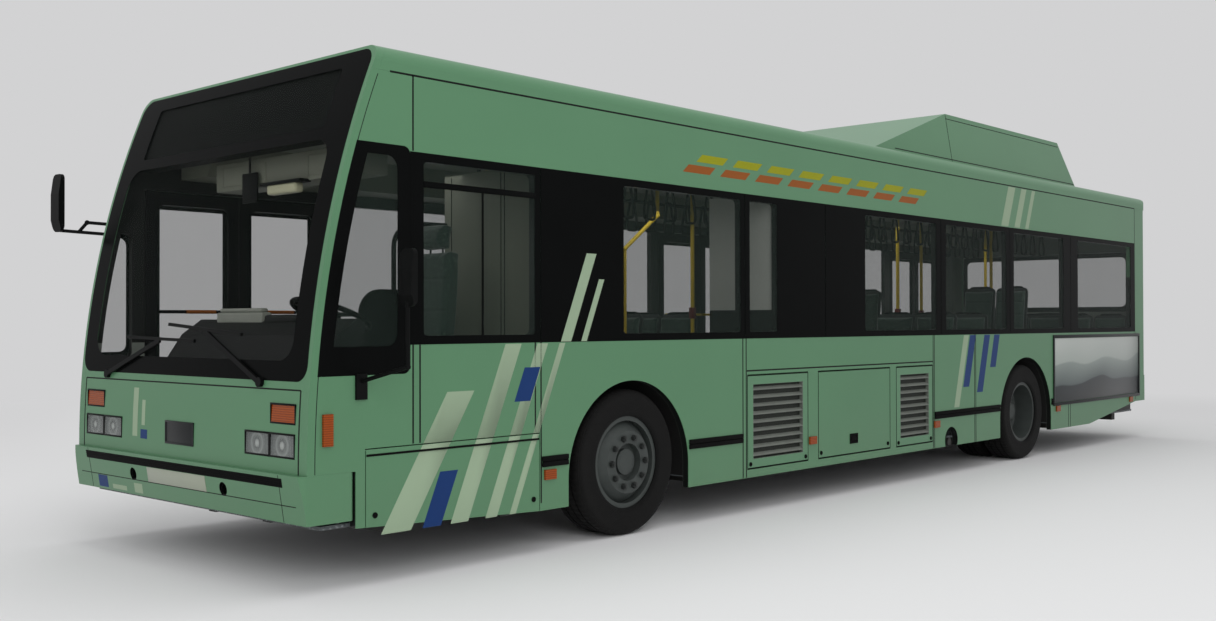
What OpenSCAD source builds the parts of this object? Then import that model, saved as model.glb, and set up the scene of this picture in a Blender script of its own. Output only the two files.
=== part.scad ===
// Low-floor city bus with three double doors, a mid engine and a roof pod.
// +X is forward, +Y is the bus's left, +Z is up, and the ground is z = 0.
// A place along the bus is given as a distance behind the front bumper, and x_at() turns it into X.

/* [Overall] */
// Front bumper to front axle
front_overhang = 2515; // [2500:5:2600]
// Front axle to rear axle
wheelbase = 6045; // [5950:5:6200]
// Rear axle to rear bumper
rear_overhang = 3440; // [3400:5:3600]
// Width over the side walls
body_w = 2550; // [2520:5:2600]
// Thickness of the side, rear and roof walls
wall_t = 50; // [44:1:56]
// Height of the skirt's lower edge
skirt_z = 254; // [240:2:270]
// Height of the waist line under the side windows
waist_z = 1267; // [1250:1:1290]
// Height of the window band's upper edge
band_top_z = 2321; // [2310:1:2335]
// Height of the gutter line, where walls and roof meet
gutter_z = 2736; // [2720:2:2760]
// Height of the flat of the roof
roof_z = 2880; // [2860:5:2920]
// Radius of the roof's long edges
roof_edge_r = 90; // [80:2:100]
// Joint between neighbouring panels that are fixed together
seam = 0.4; // [0.3:0.1:0.6]
// Gap around flaps and door leaves
flap_gap = 6; // [5:1:8]

/* [Front] */
// Radius of the raked front, seen from the side
nose_r = 5797; // [5700:1:5900]
// Height of the centre of that radius
nose_centre_z = 621; // [600:1:640]
// Distance of the front panel behind the bumper's face
nose_setback = 39; // [36:1:48]
// Thickness of the front mask
mask_t = 45; // [40:1:50]
// Windscreen's side edges to the sides of the body
screen_margin = 85; // [80:1:105]
// Height of the windscreen's lower edge
screen_bottom_z = 1100; // [1090:1:1120]
// Height of the windscreen's upper edge
screen_top_z = 2826; // [2810:1:2832]
// Corner radius of the windscreen
screen_corner_r = 110; // [90:1:120]
// Thickness of the window glass
glass_t = 8; // [6:1:10]
// Height of the front bumper's upper edge
bumper_top_z = 611; // [605:1:618]
// Height of the front bumper's lower edge
bumper_bottom_z = 358; // [350:1:370]
// How far the bumper's lower edge is set back
bumper_rake = 40; // [30:1:50]
// Length of the bumper's side returns
bumper_return = 337; // [325:1:345]
// Thickness of the bumpers
bumper_t = 60; // [50:1:70]

/* [Side panels] */
// Start of the window band behind the front bumper
band_start = 716; // [710:1:725]
// Length of the rear corner panels
rear_corner_l = 380; // [370:1:390]
// Front axle to the engine bay's front edge
engine_bay_offset = 1272; // [1265:1:1280]
// Height of the engine flaps' lower edge
engine_flap_bottom_z = 312; // [305:1:318]
// Height of the engine flaps' upper edge
engine_flap_top_z = 1005; // [990:1:1015]
// Height of the front flap's upper edge
front_flap_top_z = 725; // [715:1:735]
// Thickness of the flaps
flap_t = 30; // [25:1:34]
// Distance between the grille slats
slat_pitch = 60; // [54:1:66]
// Radius of the front wheel arches
front_arch_r = 589; // [580:1:594]
// Radius of the rear wheel arches
rear_arch_r = 606; // [590:1:610]
// Height of the wheel arches' centres
arch_z = 420; // [405:1:440]

/* [Doors] */
// Clear length of the front doorway
front_door_l = 1410; // [1390:2:1420]
// Clear length of the middle and rear doorways
door_l = 1350; // [1300:2:1360]
// Front axle to the rear edge of the front doorway
front_door_back = 652; // [646:1:660]
// Rear edge of the middle doorway to the rear axle
mid_door_back = 1455; // [1405:5:1470]
// Rear bumper to the rear edge of the rear doorway
rear_door_back = 420; // [410:1:440]
// Height of the doorways' lintel
door_top_z = 2280; // [2270:1:2300]
// Thickness of the door leaves
leaf_t = 40; // [34:1:44]
// Width of the leaves' frame
leaf_frame_w = 75; // [65:1:85]

/* [Floor and cabin] */
// Height of the floor
floor_z = 340; // [334:1:350]
// Thickness of the floor plate
floor_t = 20; // [16:1:24]
// Depth of the rails under the floor
rail_h = 85; // [75:1:95]
// Width of the rails
rail_w = 80; // [70:1:90]
// Wheel boxes' inner faces to the rails' centres
rail_inset = 200; // [185:1:215]
// Thickness of the wheel boxes' sheet
box_t = 20; // [16:1:22]
// Inner radius of the wheel boxes
box_r = 615; // [612:1:618]
// Width of the wheel boxes from the side walls inwards
wheel_box_w = 725; // [715:1:740]
// Height of the driver's platform
platform_z = 600; // [580:1:620]
// Height of the ceiling ducts' underside
duct_z = 2360; // [2350:1:2375]
// Thickness of the inner panels
lining_t = 20; // [16:1:24]
// Radius of the grab poles
pole_r = 17; // [15:0.5:19]

/* [Wheels] */
// Radius of the tyres
tyre_r = 475; // [470:1:478]
// Width of one tyre
tyre_w = 275; // [265:1:280]
// Sides of the body to the tyres' outer faces
wheel_inset = 30.5; // [25:0.5:42]
// Distance between the twin wheels
twin_gap = 320; // [310:1:325]
// Radius of the rim's bead seat
rim_r = 286; // [280:1:290]
// Radius of the front spindles
spindle_r = 40; // [36:1:44]
// Radius of the rear axle's ends
axle_end_r = 60; // [54:1:64]
// Running clearance of the hubs and kingpins
bearing_gap = 0.3; // [0.2:0.1:0.4]
// Wheel's centre plane to the kingpin
kingpin_offset = 150; // [140:1:158]
// Radius of the kingpins
kingpin_r = 25; // [22:1:28]

/* [Roof pod] */
// Height of the pod above the roof
pod_h = 500; // [460:5:540]
// Start of the pod's ramp behind the front bumper
pod_start = 5850; // [5800:10:5950]
// Length of the pod's ramp
pod_ramp_l = 1530; // [1450:10:1600]
// Length of the pod's flat top
pod_top_l = 2640; // [2500:10:2750]
// Length of the pod's rear slope
pod_tail_l = 330; // [300:10:380]
// Sides of the body to the foot of the pod's sides
pod_inset = 195; // [175:5:215]
// How far the pod's sides lean in
pod_lean = 80; // [60:2:100]

/* [Mirrors] */
// How far the mirrors stand out from the side walls
mirror_reach = 345; // [325:5:365]
// Radius of the mirror arms
mirror_arm_r = 11; // [9:1:13]

/* [Hidden] */
$fn = 64;
fine = 360;
body_l = front_overhang + wheelbase + rear_overhang;
half_w = body_w / 2;
inner_half_w = half_w - wall_t;
front_axle_s = front_overhang;
rear_axle_s = front_overhang + wheelbase;
rear_seam_s = body_l - rear_corner_l;
nose_centre_s = nose_r + nose_setback;
screen_half_w = half_w - screen_margin;
pod_half_w = half_w - pod_inset;
pod_z = roof_z + pod_h;
mirror_half_w = half_w + mirror_reach;
wheel_y = half_w - wheel_inset - tyre_w / 2;
aisle_half_w = inner_half_w - wheel_box_w;
rail_y = aisle_half_w - rail_inset;
rail_bottom_z = floor_z - floor_t - rail_h;
deck_bottom_z = floor_z - floor_t;
box_outer_r = box_r + box_t;
kingpin_y = wheel_y - kingpin_offset;
left = 1;
right = -1;
both_sides = [left, right];

// Skirt line: slopes up before the front wheel's flap and towards the tail
front_skirt_rise = 60;
front_skirt_end = 1680;
tail_skirt_start = 1800;
tail_skirt_z = 437;

// Front and rear flaps along the left side, as distances behind the front bumper
front_flap_start = 397;
front_flap_end = 1680;
engine_bay_s = front_axle_s + engine_bay_offset;
// Engine flaps: name, start after the bay's front edge, length, louvred
engine_flaps = [
    ["front_grille", 0, 797, true],
    ["engine_door", 938, 1113, false],
    ["rear_grille", 2152, 650, true]];
// Round service port in the skirt: before the rear axle, height, radius
service_port = [rear_axle_s - 1620, 305, 115];
grille_margin = 75;
slat_t = 6;
slat_depth = 34;
slat_tilt = 38;

// Left panes: length, dark border at the front, dark border at the rear
left_panes = [
    [974, 74, 50],
    [2076, 750, 56],
    [1074, 56, 670],
    [1918, 600, 93],
    [1437, 94, 85],
    [1505, 85, 195]];
last_pane_borders = [193, 140];
pane_edge_z = 48;
pane_joint = 6;
pane_corner_r = 40;
right_pane_count = 3;
right_pane_margin = 60;
right_pane_border = 50;
driver_window_bottom_z = 1135;
driver_window_border = 66;
driver_window_end = band_start - 42;
driver_corner_r = 90;
quarter_window_end = 390;
quarter_window_top_z = 2000;

// Doorways: name, front edge, clear length
doorways = [
    ["front", front_axle_s - front_door_back - front_door_l, front_door_l],
    ["mid", rear_axle_s - mid_door_back - door_l, door_l],
    ["rear", body_l - rear_door_back - door_l, door_l]];
sill_z = floor_z + 5;
leaf_bottom_z = floor_z + 14;
leaf_top_z = door_top_z - 14;
leaf_pivot_inset = 40;
leaf_edge = 28;
leaf_meeting_gap = 8;
leaf_pane_bottom_z = 560;
leaf_pane_top_z = 2185;
leaf_pane_r = 60;

// X of a place given as a distance behind the front bumper
function x_at(s) = body_l / 2 - s;

// Sum of a column's first n entries
function run_of(table, n) = n == 0 ? 0 : table[n - 1][0] + run_of(table, n - 1);

// Start of a left pane behind the front bumper
function left_pane_start(n) = band_start + run_of(left_panes, n);

// Outline drawn in (x, z), made a plate from y0 to y1
module along_y(y0, y1) {
    translate([0, y1, 0]) rotate([90, 0, 0]) linear_extrude(y1 - y0) children();
}

// Outline drawn in (y, z), made a bar from x0 to x1
module along_x(x0, x1) {
    translate([x0, 0, 0]) rotate([90, 0, 90]) linear_extrude(x1 - x0) children();
}

// Box given by its place behind the bumper, its y range and its z range
module block(s0, s1, y0, y1, z0, z1) {
    translate([x_at(s1), y0, z0]) cube([s1 - s0, y1 - y0, z1 - z0]);
}

// Rectangle in a side view, from s0 to s1 and z0 to z1
module side_rect(s0, s1, z0, z1) {
    translate([x_at(s1), z0]) square([s1 - s0, z1 - z0]);
}

// Rectangle between two corners with rounded corners
module round_rect(x0, x1, y0, y1, r) {
    union() {
        translate([x0 + r, y0]) square([x1 - x0 - 2 * r, y1 - y0]);
        translate([x0, y0 + r]) square([x1 - x0, y1 - y0 - 2 * r]);
        for (x = [x0 + r, x1 - r], y = [y0 + r, y1 - r]) translate([x, y]) circle(r = r);
    }
}

// Rounded rectangle in a side view
module side_round_rect(s0, s1, z0, z1, r) {
    round_rect(x_at(s1), x_at(s0), z0, z1, r);
}

// Both sides of the bus from one left-hand piece
module mirrored_pair() {
    children();
    mirror([0, 1, 0]) children();
}

// Round bar from p to q
module rod(p, q, r) {
    v = q - p;
    translate(p) rotate([0, acos(v[2] / norm(v)), atan2(v[1], v[0])]) cylinder(r = r, h = norm(v));
}

// Curved layer of the raked front between two depths below its surface, within half width w
module nose_layer(depth0, depth1, w) {
    along_y(-w, w) translate([x_at(nose_centre_s), nose_centre_z]) difference() {
        circle(r = nose_r - depth0, $fn = fine);
        circle(r = nose_r - depth1, $fn = fine);
    }
}

// Side view of everything behind the raked front, at a depth below its surface
module behind_nose(depth) {
    union() {
        translate([x_at(nose_centre_s), nose_centre_z]) circle(r = nose_r - depth, $fn = fine);
        side_rect(nose_centre_s, body_l, 0, roof_z);
    }
}

// Cross-section of the roof's outside, pulled in by t
module roof_section(t) {
    intersection() {
        round_rect(-half_w + t, half_w - t, gutter_z - 2 * roof_edge_r, roof_z - t, roof_edge_r - t);
        translate([-half_w, gutter_z]) square([body_w, roof_z]);
    }
}

// Plan of the tail with its rounded corners, pulled in by t
tail_corner_r = 90;
module tail_plan(t, s0, s1) {
    intersection() {
        round_rect(x_at(s1) + t, x_at(s0) + 2 * tail_corner_r, -half_w + t, half_w - t, tail_corner_r - t);
        translate([x_at(s1), -half_w]) square([s1 - s0, body_w]);
    }
}

// Side view of a side wall, with the bumper's return and the sloping skirt left out
module wall_outline() {
    intersection() {
        polygon([
            [x_at(0), bumper_top_z + seam],
            [x_at(0), gutter_z - seam],
            [x_at(rear_seam_s), gutter_z - seam],
            [x_at(rear_seam_s), tail_skirt_z],
            [x_at(body_l - tail_skirt_start), skirt_z],
            [x_at(front_skirt_end), skirt_z],
            [x_at(bumper_return + seam), skirt_z + front_skirt_rise],
            [x_at(bumper_return + seam), bumper_top_z + seam]]);
        behind_nose(0);
    }
}

// Wheel arch seen from the side
module arch_outline(s, r) {
    translate([x_at(s), arch_z]) circle(r = r);
    translate([x_at(s) - r, 0]) square([2 * r, arch_z]);
}

// Driver's window and its smaller right-hand twin: raked front edge, ends at s1 and top_z; grown by g
module cab_window_outline(s1, top_z, g) {
    intersection() {
        side_round_rect(-driver_corner_r, s1 + g, driver_window_bottom_z - g, top_z + g,
            driver_corner_r / 2);
        behind_nose(driver_window_border - g);
    }
}

// Places of the clear windows in the left wall: start, end
left_clear = concat(
    [for (i = [0:len(left_panes) - 1])
        [left_pane_start(i) + left_panes[i][1], left_pane_start(i + 1) - left_panes[i][2]]],
    [[left_pane_start(len(left_panes)) + last_pane_borders[0], rear_seam_s - last_pane_borders[1]]]);

// Places of the left panes: start, end
left_pane_places = concat(
    [for (i = [0:len(left_panes) - 1]) [left_pane_start(i), left_pane_start(i + 1)]],
    [[left_pane_start(len(left_panes)), rear_seam_s]]);

// Two right-hand window groups between the doorways: start, end
right_groups = [for (i = [0, 1]) [
    doorways[i][1] + doorways[i][2] + right_pane_margin,
    doorways[i + 1][1] - right_pane_margin]];

// Places of the right panes, in whole millimetres: start, end
right_pane_places = [for (g = right_groups, i = [0:right_pane_count - 1])
    let (step = round((g[1] - g[0]) / right_pane_count))
        [g[0] + i * step, i < right_pane_count - 1 ? g[0] + (i + 1) * step : g[1]]];

// Jacking pads under the rails: places behind the front bumper
jack_places = [front_axle_s + 985, rear_axle_s + 1040];
jack_pad = 120;
jack_pad_h = 20;

module underframe() {
    color("dimgray") {
        cross_places = [front_axle_s - 1815, front_axle_s - 1015, front_axle_s + 985,
            engine_bay_s + 513, engine_bay_s + 1313, engine_bay_s + 2113, rear_axle_s - 1260,
            rear_axle_s + 1040, rear_axle_s + 1840, rear_axle_s + 2640];
        cross_half_w = inner_half_w - 60;
        cross_w = 90;
        union() {
            for (side = both_sides)
                block(420, rear_seam_s, side * rail_y - rail_w / 2, side * rail_y + rail_w / 2,
                    rail_bottom_z, deck_bottom_z - seam);
            for (s = cross_places)
                block(s - cross_w / 2, s + cross_w / 2, -cross_half_w, cross_half_w,
                    rail_bottom_z, deck_bottom_z - seam);
            for (s = jack_places, side = both_sides)
                block(s - jack_pad / 2, s + jack_pad / 2, side * rail_y - jack_pad / 2,
                    side * rail_y + jack_pad / 2, rail_bottom_z - jack_pad_h, rail_bottom_z + 1);
        }
    }
}

// Wheel box: a half round cover with a wall towards the aisle
module wheel_box(s) {
    difference() {
        along_y(aisle_half_w, inner_half_w - seam) intersection() {
            arch_outline(s, box_outer_r);
            translate([x_at(s) - box_outer_r, deck_bottom_z])
                square([2 * box_outer_r, 2 * box_outer_r]);
        }
        along_y(aisle_half_w + box_t, half_w) arch_outline(s, box_r);
    }
}

module wheel_boxes() {
    color("slategray") for (s = [front_axle_s, rear_axle_s]) mirrored_pair() wheel_box(s);
}

engine_bay_l = engine_flaps[2][1] + engine_flaps[2][2];
engine_bay_inner_y = inner_half_w - 585;
platform_end = front_axle_s - box_outer_r - 60;

module floor_plate() {
    color("slategray") difference() {
        block(150, rear_seam_s - seam, -inner_half_w + seam, inner_half_w - seam,
            deck_bottom_z, floor_z);
        for (s = [front_axle_s, rear_axle_s]) mirrored_pair()
            block(s - box_outer_r - seam, s + box_outer_r + seam, aisle_half_w - seam, half_w,
                0, floor_z + 1);
        block(engine_bay_s, engine_bay_s + engine_bay_l, engine_bay_inner_y, half_w,
            0, floor_z + 1);
    }
}

// Raised deck under the driver, hollow and open to the flap in the side
module driver_platform() {
    platform_in_y = 120;
    platform_start = 260;
    platform_out_y = half_w - bumper_t - flap_gap;
    color("slategray") difference() {
        block(platform_start, platform_end, platform_in_y, platform_out_y, floor_z + seam,
            platform_z);
        block(platform_start + box_t, platform_end - box_t, platform_in_y + box_t,
            platform_out_y + 1, floor_z, platform_z - box_t);
    }
}

// Left-hand side wall with its wheel arches, less the children
module wall_plate() {
    difference() {
        along_y(inner_half_w, half_w) wall_outline();
        along_y(inner_half_w - 1, half_w + 1) {
            arch_outline(front_axle_s, front_arch_r);
            arch_outline(rear_axle_s, rear_arch_r);
        }
        children();
    }
}

// Recess for panes of glass in the wall's outer face
module glass_recess() {
    along_y(half_w - glass_t - seam, half_w + 1) children();
}

// Opening right through a side wall
module wall_opening() {
    along_y(inner_half_w - 1, half_w + 1) children();
}

module left_wall() {
    color("darkseagreen") wall_plate() {
        glass_recess() {
            side_rect(band_start, rear_seam_s + 1, waist_z, band_top_z);
            cab_window_outline(driver_window_end, band_top_z, pane_edge_z / 2);
        }
        wall_opening() {
            for (p = left_clear)
                side_round_rect(p[0], p[1], waist_z + pane_edge_z, band_top_z - pane_edge_z,
                    pane_corner_r);
            cab_window_outline(driver_window_end, band_top_z, -pane_edge_z / 2);
            side_rect(front_flap_start, front_flap_end, 0, front_flap_top_z);
            for (f = engine_flaps)
                side_rect(engine_bay_s + f[1], engine_bay_s + f[1] + f[2],
                    engine_flap_bottom_z, engine_flap_top_z);
            translate([x_at(service_port[0]), service_port[1]]) circle(r = service_port[2]);
        }
    }
}

module right_wall() {
    color("darkseagreen") mirror([0, 1, 0]) wall_plate() {
        glass_recess() {
            for (g = right_groups) side_rect(g[0], g[1], waist_z, band_top_z);
            cab_window_outline(quarter_window_end, quarter_window_top_z, pane_edge_z / 2);
        }
        wall_opening() {
            for (p = right_pane_places)
                side_round_rect(p[0] + right_pane_border, p[1] - right_pane_border,
                    waist_z + pane_edge_z, band_top_z - pane_edge_z, pane_corner_r);
            cab_window_outline(quarter_window_end, quarter_window_top_z, -pane_edge_z / 2);
            for (d = doorways) side_rect(d[1], d[1] + d[2], sill_z, door_top_z);
        }
    }
}

module roof() {
    color("darkseagreen") difference() {
        intersection() {
            along_x(x_at(body_l), x_at(0)) roof_section(0);
            along_y(-half_w, half_w) intersection() {
                behind_nose(mask_t + seam);
                side_round_rect(0, body_l, gutter_z - 2 * roof_edge_r, roof_z, roof_edge_r);
            }
            translate([0, 0, gutter_z]) linear_extrude(roof_z) tail_plan(0, 0, body_l);
        }
        along_x(x_at(body_l - wall_t), x_at(0)) roof_section(wall_t);
    }
}

// Outline of the windscreen in a front view, grown by g
module screen_outline(g) {
    round_rect(-screen_half_w - g, screen_half_w + g, screen_bottom_z - g, screen_top_z + g,
        screen_corner_r);
}

// Front lamps: inner edge, outer edge, lower edge, upper edge
headlamp_places = [
    [half_w - 575, half_w - 347, 695, 812],
    [half_w - 337, half_w - 113, 695, 812]];
front_indicator_place = [half_w - 337, half_w - 113, 870, 966];

// Lamp bodies let into the raked front, grown by g
module front_lamp(place, g, depth) {
    intersection() {
        nose_layer(0, depth, half_w);
        along_x(x_at(300), x_at(0))
            translate([place[0] - g, place[2] - g])
                square([place[1] - place[0] + 2 * g, place[3] - place[2] + 2 * g]);
    }
}

lamp_depth = 30;

module front_mask() {
    color("darkseagreen") difference() {
        intersection() {
            nose_layer(0, mask_t, half_w);
            along_x(x_at(nose_centre_s), x_at(0)) {
                translate([-inner_half_w + seam, bumper_top_z + seam])
                    square([2 * (inner_half_w - seam), gutter_z - bumper_top_z]);
                roof_section(0);
            }
        }
        along_x(x_at(nose_centre_s), x_at(0)) screen_outline(0);
        mirrored_pair() {
            for (p = headlamp_places) front_lamp(p, seam, lamp_depth + seam);
            front_lamp(front_indicator_place, seam, lamp_depth + seam);
        }
    }
}

module windscreen() {
    color("black", 0.5) intersection() {
        nose_layer(0, glass_t, half_w);
        along_x(x_at(nose_centre_s), x_at(0)) screen_outline(-seam);
    }
}

rear_window_half_w = half_w - 175;
rear_window_bottom_z = 1510;
rear_window_top_z = 2240;
tail_lamp_y = half_w - 155;
// Tail lamps: height, radius
tail_lamp_places = [[880, 55], [1010, 55], [1140, 55], [1270, 55]];
rear_wall_setback = 20;
rear_bumper_top_z = 739;
rear_bumper_return = 290;

module rear_wall() {
    tail_s = body_l - rear_wall_setback;
    color("darkseagreen") difference() {
        translate([0, 0, tail_skirt_z]) linear_extrude(gutter_z - seam - tail_skirt_z) difference() {
            tail_plan(0, rear_seam_s + seam, tail_s);
            tail_plan(wall_t, rear_seam_s - 1, tail_s);
        }
        translate([0, 0, tail_skirt_z - 1])
            linear_extrude(rear_bumper_top_z + seam - tail_skirt_z + 1)
                translate([x_at(body_l), -half_w - 1])
                    square([rear_bumper_return + seam, body_w + 2]);
        along_x(x_at(body_l) - 1, x_at(tail_s) + wall_t + 1)
            round_rect(-rear_window_half_w, rear_window_half_w, rear_window_bottom_z,
                rear_window_top_z, pane_corner_r);
    }
}

module rear_bumper() {
    color("darkseagreen") translate([0, 0, tail_skirt_z])
        linear_extrude(rear_bumper_top_z - tail_skirt_z) difference() {
            tail_plan(0, body_l - rear_bumper_return, body_l);
            tail_plan(bumper_t, 0, body_l);
        }
}

tow_y = 510;
tow_z = 485;
tow_r = 30;
tow_recess_r = 38;
tow_recess_depth = 32;
front_corner_r = 40;

module front_bumper() {
    color("darkseagreen") difference() {
        intersection() {
            translate([0, 0, bumper_bottom_z]) linear_extrude(bumper_top_z - bumper_bottom_z)
                difference() {
                    round_rect(x_at(bumper_return), x_at(0), -half_w, half_w, front_corner_r);
                    translate([x_at(bumper_return) - 1, -half_w + bumper_t])
                        square([bumper_return - bumper_rake - bumper_t + 1, body_w - 2 * bumper_t]);
                    translate([x_at(bumper_return) - front_corner_r, -half_w - 1])
                        square([front_corner_r, body_w + 2]);
                }
            along_y(-half_w - 1, half_w + 1) polygon([
                [x_at(bumper_return) - front_corner_r, bumper_bottom_z],
                [x_at(bumper_return) - front_corner_r, bumper_top_z],
                [x_at(0), bumper_top_z],
                [x_at(bumper_rake), bumper_bottom_z]]);
        }
        for (side = both_sides) translate([x_at(bumper_return), side * tow_y, tow_z])
            rotate([0, 90, 0]) {
                cylinder(r = tow_r, h = bumper_return + 1);
                translate([0, 0, bumper_return - tow_recess_depth])
                    cylinder(r = tow_recess_r, h = tow_recess_depth + 1);
            }
    }
}

module windows() {
    color("black", 0.5) {
        pane_y0 = half_w - glass_t;
        along_y(pane_y0, half_w) for (p = left_pane_places)
            side_rect(p[0] + seam, p[1] - (p[1] == rear_seam_s ? seam : pane_joint),
                waist_z + seam, band_top_z - seam);
        along_y(pane_y0, half_w)
            cab_window_outline(driver_window_end, band_top_z, pane_edge_z / 2 - seam);
        along_y(-half_w, -pane_y0) for (p = right_pane_places)
            side_rect(p[0] + pane_joint / 2, p[1] - pane_joint / 2, waist_z + seam, band_top_z - seam);
        along_y(-half_w, -pane_y0)
            cab_window_outline(quarter_window_end, quarter_window_top_z, pane_edge_z / 2 - seam);
        along_x(x_at(body_l - rear_wall_setback), x_at(body_l - rear_wall_setback) + glass_t)
            round_rect(-rear_window_half_w + seam, rear_window_half_w - seam,
                rear_window_bottom_z + seam, rear_window_top_z - seam, pane_corner_r);
    }
}

display_bottom_z = 2380;
display_depth = 150;

module destination_display() {
    color("black") intersection() {
        nose_layer(glass_t + seam, display_depth, half_w);
        along_x(x_at(nose_centre_s), x_at(0)) translate([-screen_half_w + 40, display_bottom_z])
            square([2 * (screen_half_w - 40), screen_top_z - display_bottom_z - 40]);
    }
}

module roof_pod() {
    pod_end = pod_start + pod_ramp_l + pod_top_l + pod_tail_l;
    color("gray") intersection() {
        along_y(-pod_half_w, pod_half_w) polygon([
            [x_at(pod_start), roof_z + seam],
            [x_at(pod_start + pod_ramp_l), pod_z],
            [x_at(pod_end - pod_tail_l), pod_z],
            [x_at(pod_end), roof_z + seam]]);
        along_x(x_at(pod_end), x_at(pod_start)) polygon([
            [-pod_half_w, roof_z],
            [-pod_half_w + pod_lean, pod_z],
            [pod_half_w - pod_lean, pod_z],
            [pod_half_w, roof_z]]);
    }
}

module engine() {
    color("dimgray") block(engine_bay_s + 200, engine_bay_s + engine_bay_l - 200,
        engine_bay_inner_y + 60, inner_half_w - 90, deck_bottom_z, 1150);
}

tower_start = 405;
tower_l = 1230;
cover_top_z = waist_z - 20;

module engine_cover() {
    bay_end = engine_bay_s + engine_bay_l;
    cover_y = engine_bay_inner_y - lining_t;
    tower_s = engine_bay_s + tower_start;
    color("gainsboro") difference() {
        union() {
            block(engine_bay_s - lining_t, bay_end + lining_t, cover_y, inner_half_w - seam,
                floor_z + seam, cover_top_z);
            block(tower_s, tower_s + tower_l, cover_y, inner_half_w - seam,
                floor_z + seam, duct_z - seam);
        }
        block(engine_bay_s, bay_end, engine_bay_inner_y, inner_half_w, 0, cover_top_z - lining_t);
        block(tower_s + lining_t, tower_s + tower_l - lining_t, engine_bay_inner_y, inner_half_w,
            0, duct_z - seam - lining_t);
    }
}

cab_wall_t = 40;
locker_l = 620;
locker_y = inner_half_w - 585;
locker_z = 1100;
cab_wall_y = 275;

module cab_wall() {
    wall_s = platform_end - cab_wall_t;
    color("gainsboro") union() {
        block(wall_s, wall_s + cab_wall_t, cab_wall_y, inner_half_w - seam, platform_z + seam,
            duct_z - seam);
        block(wall_s, wall_s + cab_wall_t + locker_l, locker_y, inner_half_w - seam, locker_z,
            duct_z - seam);
    }
}

ceiling_z = 2560;
duct_w = 345;
duct_slope = 120;

module ceiling() {
    top_z = ceiling_z + 40;
    color("gainsboro") along_x(x_at(rear_seam_s - seam), x_at(band_start)) polygon([
        [-inner_half_w + seam, duct_z],
        [-inner_half_w + duct_w, duct_z],
        [-inner_half_w + duct_w + duct_slope, ceiling_z],
        [inner_half_w - duct_w - duct_slope, ceiling_z],
        [inner_half_w - duct_w, duct_z],
        [inner_half_w - seam, duct_z],
        [inner_half_w - seam, top_z],
        [-inner_half_w + seam, top_z]]);
}

module driver_seat() {
    color("darkslategray") {
        seat_y = 550;
        half = 230;
        union() {
            along_y(seat_y - half, seat_y + half) polygon([
                [x_at(950), 960], [x_at(950), 1060], [x_at(1330), 1040], [x_at(1420), 1840],
                [x_at(1520), 1840], [x_at(1480), 1300], [x_at(1460), 960]]);
            along_y(seat_y - 120, seat_y + 120) polygon([
                [x_at(1420), 1830], [x_at(1450), 2000], [x_at(1520), 2000], [x_at(1520), 1830]]);
            block(1040, 1340, seat_y - 140, seat_y + 140, platform_z + seam, 961);
        }
    }
}

module dashboard() {
    color("darkslategray") along_y(-450, inner_half_w - 60) polygon([
        [x_at(120), platform_z + seam], [x_at(120), 1060], [x_at(300), 1320], [x_at(430), 1410],
        [x_at(480), 1390], [x_at(450), 1000], [x_at(340), 760], [x_at(300), platform_z + seam]]);
}

module steering_wheel() {
    wheel_tilt = 22;
    rim_radius = 230;
    tube_r = 16;
    column_l = 960;
    color("black") translate([x_at(690), 550, 1436]) rotate([0, -wheel_tilt, 0]) {
        difference() {
            union() {
                rotate_extrude() translate([rim_radius, 0]) circle(r = tube_r);
                cylinder(r = 60, h = 40, center = true);
                for (a = [90, 210, 330]) rotate([0, 0, a])
                    translate([0, -15, -8]) cube([rim_radius, 30, 14]);
                translate([0, 0, -column_l]) cylinder(r = 38, h = column_l);
            }
            rotate([0, wheel_tilt, 0]) translate([-600, -300, platform_z + seam - 1436 - 400])
                cube([1200, 600, 400]);
        }
    }
}

// Seats between the engine bay and the rear wheel box, as many as fit
seat_pitch = 640;
bay_seats = floor((rear_axle_s - box_outer_r - engine_bay_s - engine_bay_l - 50) / seat_pitch);
// One pair of seats: cushion's front edge, side, height of its foot
seat_pairs = concat(
    [for (i = [1:1:bay_seats])
        [rear_axle_s - box_outer_r + 110 - i * seat_pitch, left, floor_z]],
    [[rear_axle_s + box_outer_r + 120, left, floor_z],
    [rear_axle_s + box_outer_r + 860, left, floor_z],
    [front_axle_s + box_outer_r + 150, right, floor_z],
    [front_axle_s + box_outer_r + 900, right, floor_z],
    [front_axle_s + box_outer_r + 1650, right, floor_z],
    [rear_axle_s - box_outer_r - 530, right, floor_z],
    [rear_axle_s + box_outer_r + 120, right, floor_z]]);
// Seats on the wheel boxes: axle's place, side
box_seats = [[front_axle_s, right], [rear_axle_s, left], [rear_axle_s, right]];
seat_top_z = 880;
seat_back_z = 1480;
seat_depth = 430;
seat_back_t = 90;

module seat_profile(s, base_z, top_z, back_z) {
    polygon([
        [x_at(s), top_z - 90], [x_at(s), top_z], [x_at(s + seat_depth - seat_back_t), top_z - 20],
        [x_at(s + seat_depth - 10), back_z], [x_at(s + seat_depth + 50), back_z],
        [x_at(s + seat_depth), base_z], [x_at(s + 160), base_z], [x_at(s + 160), top_z - 90]]);
}

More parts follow.
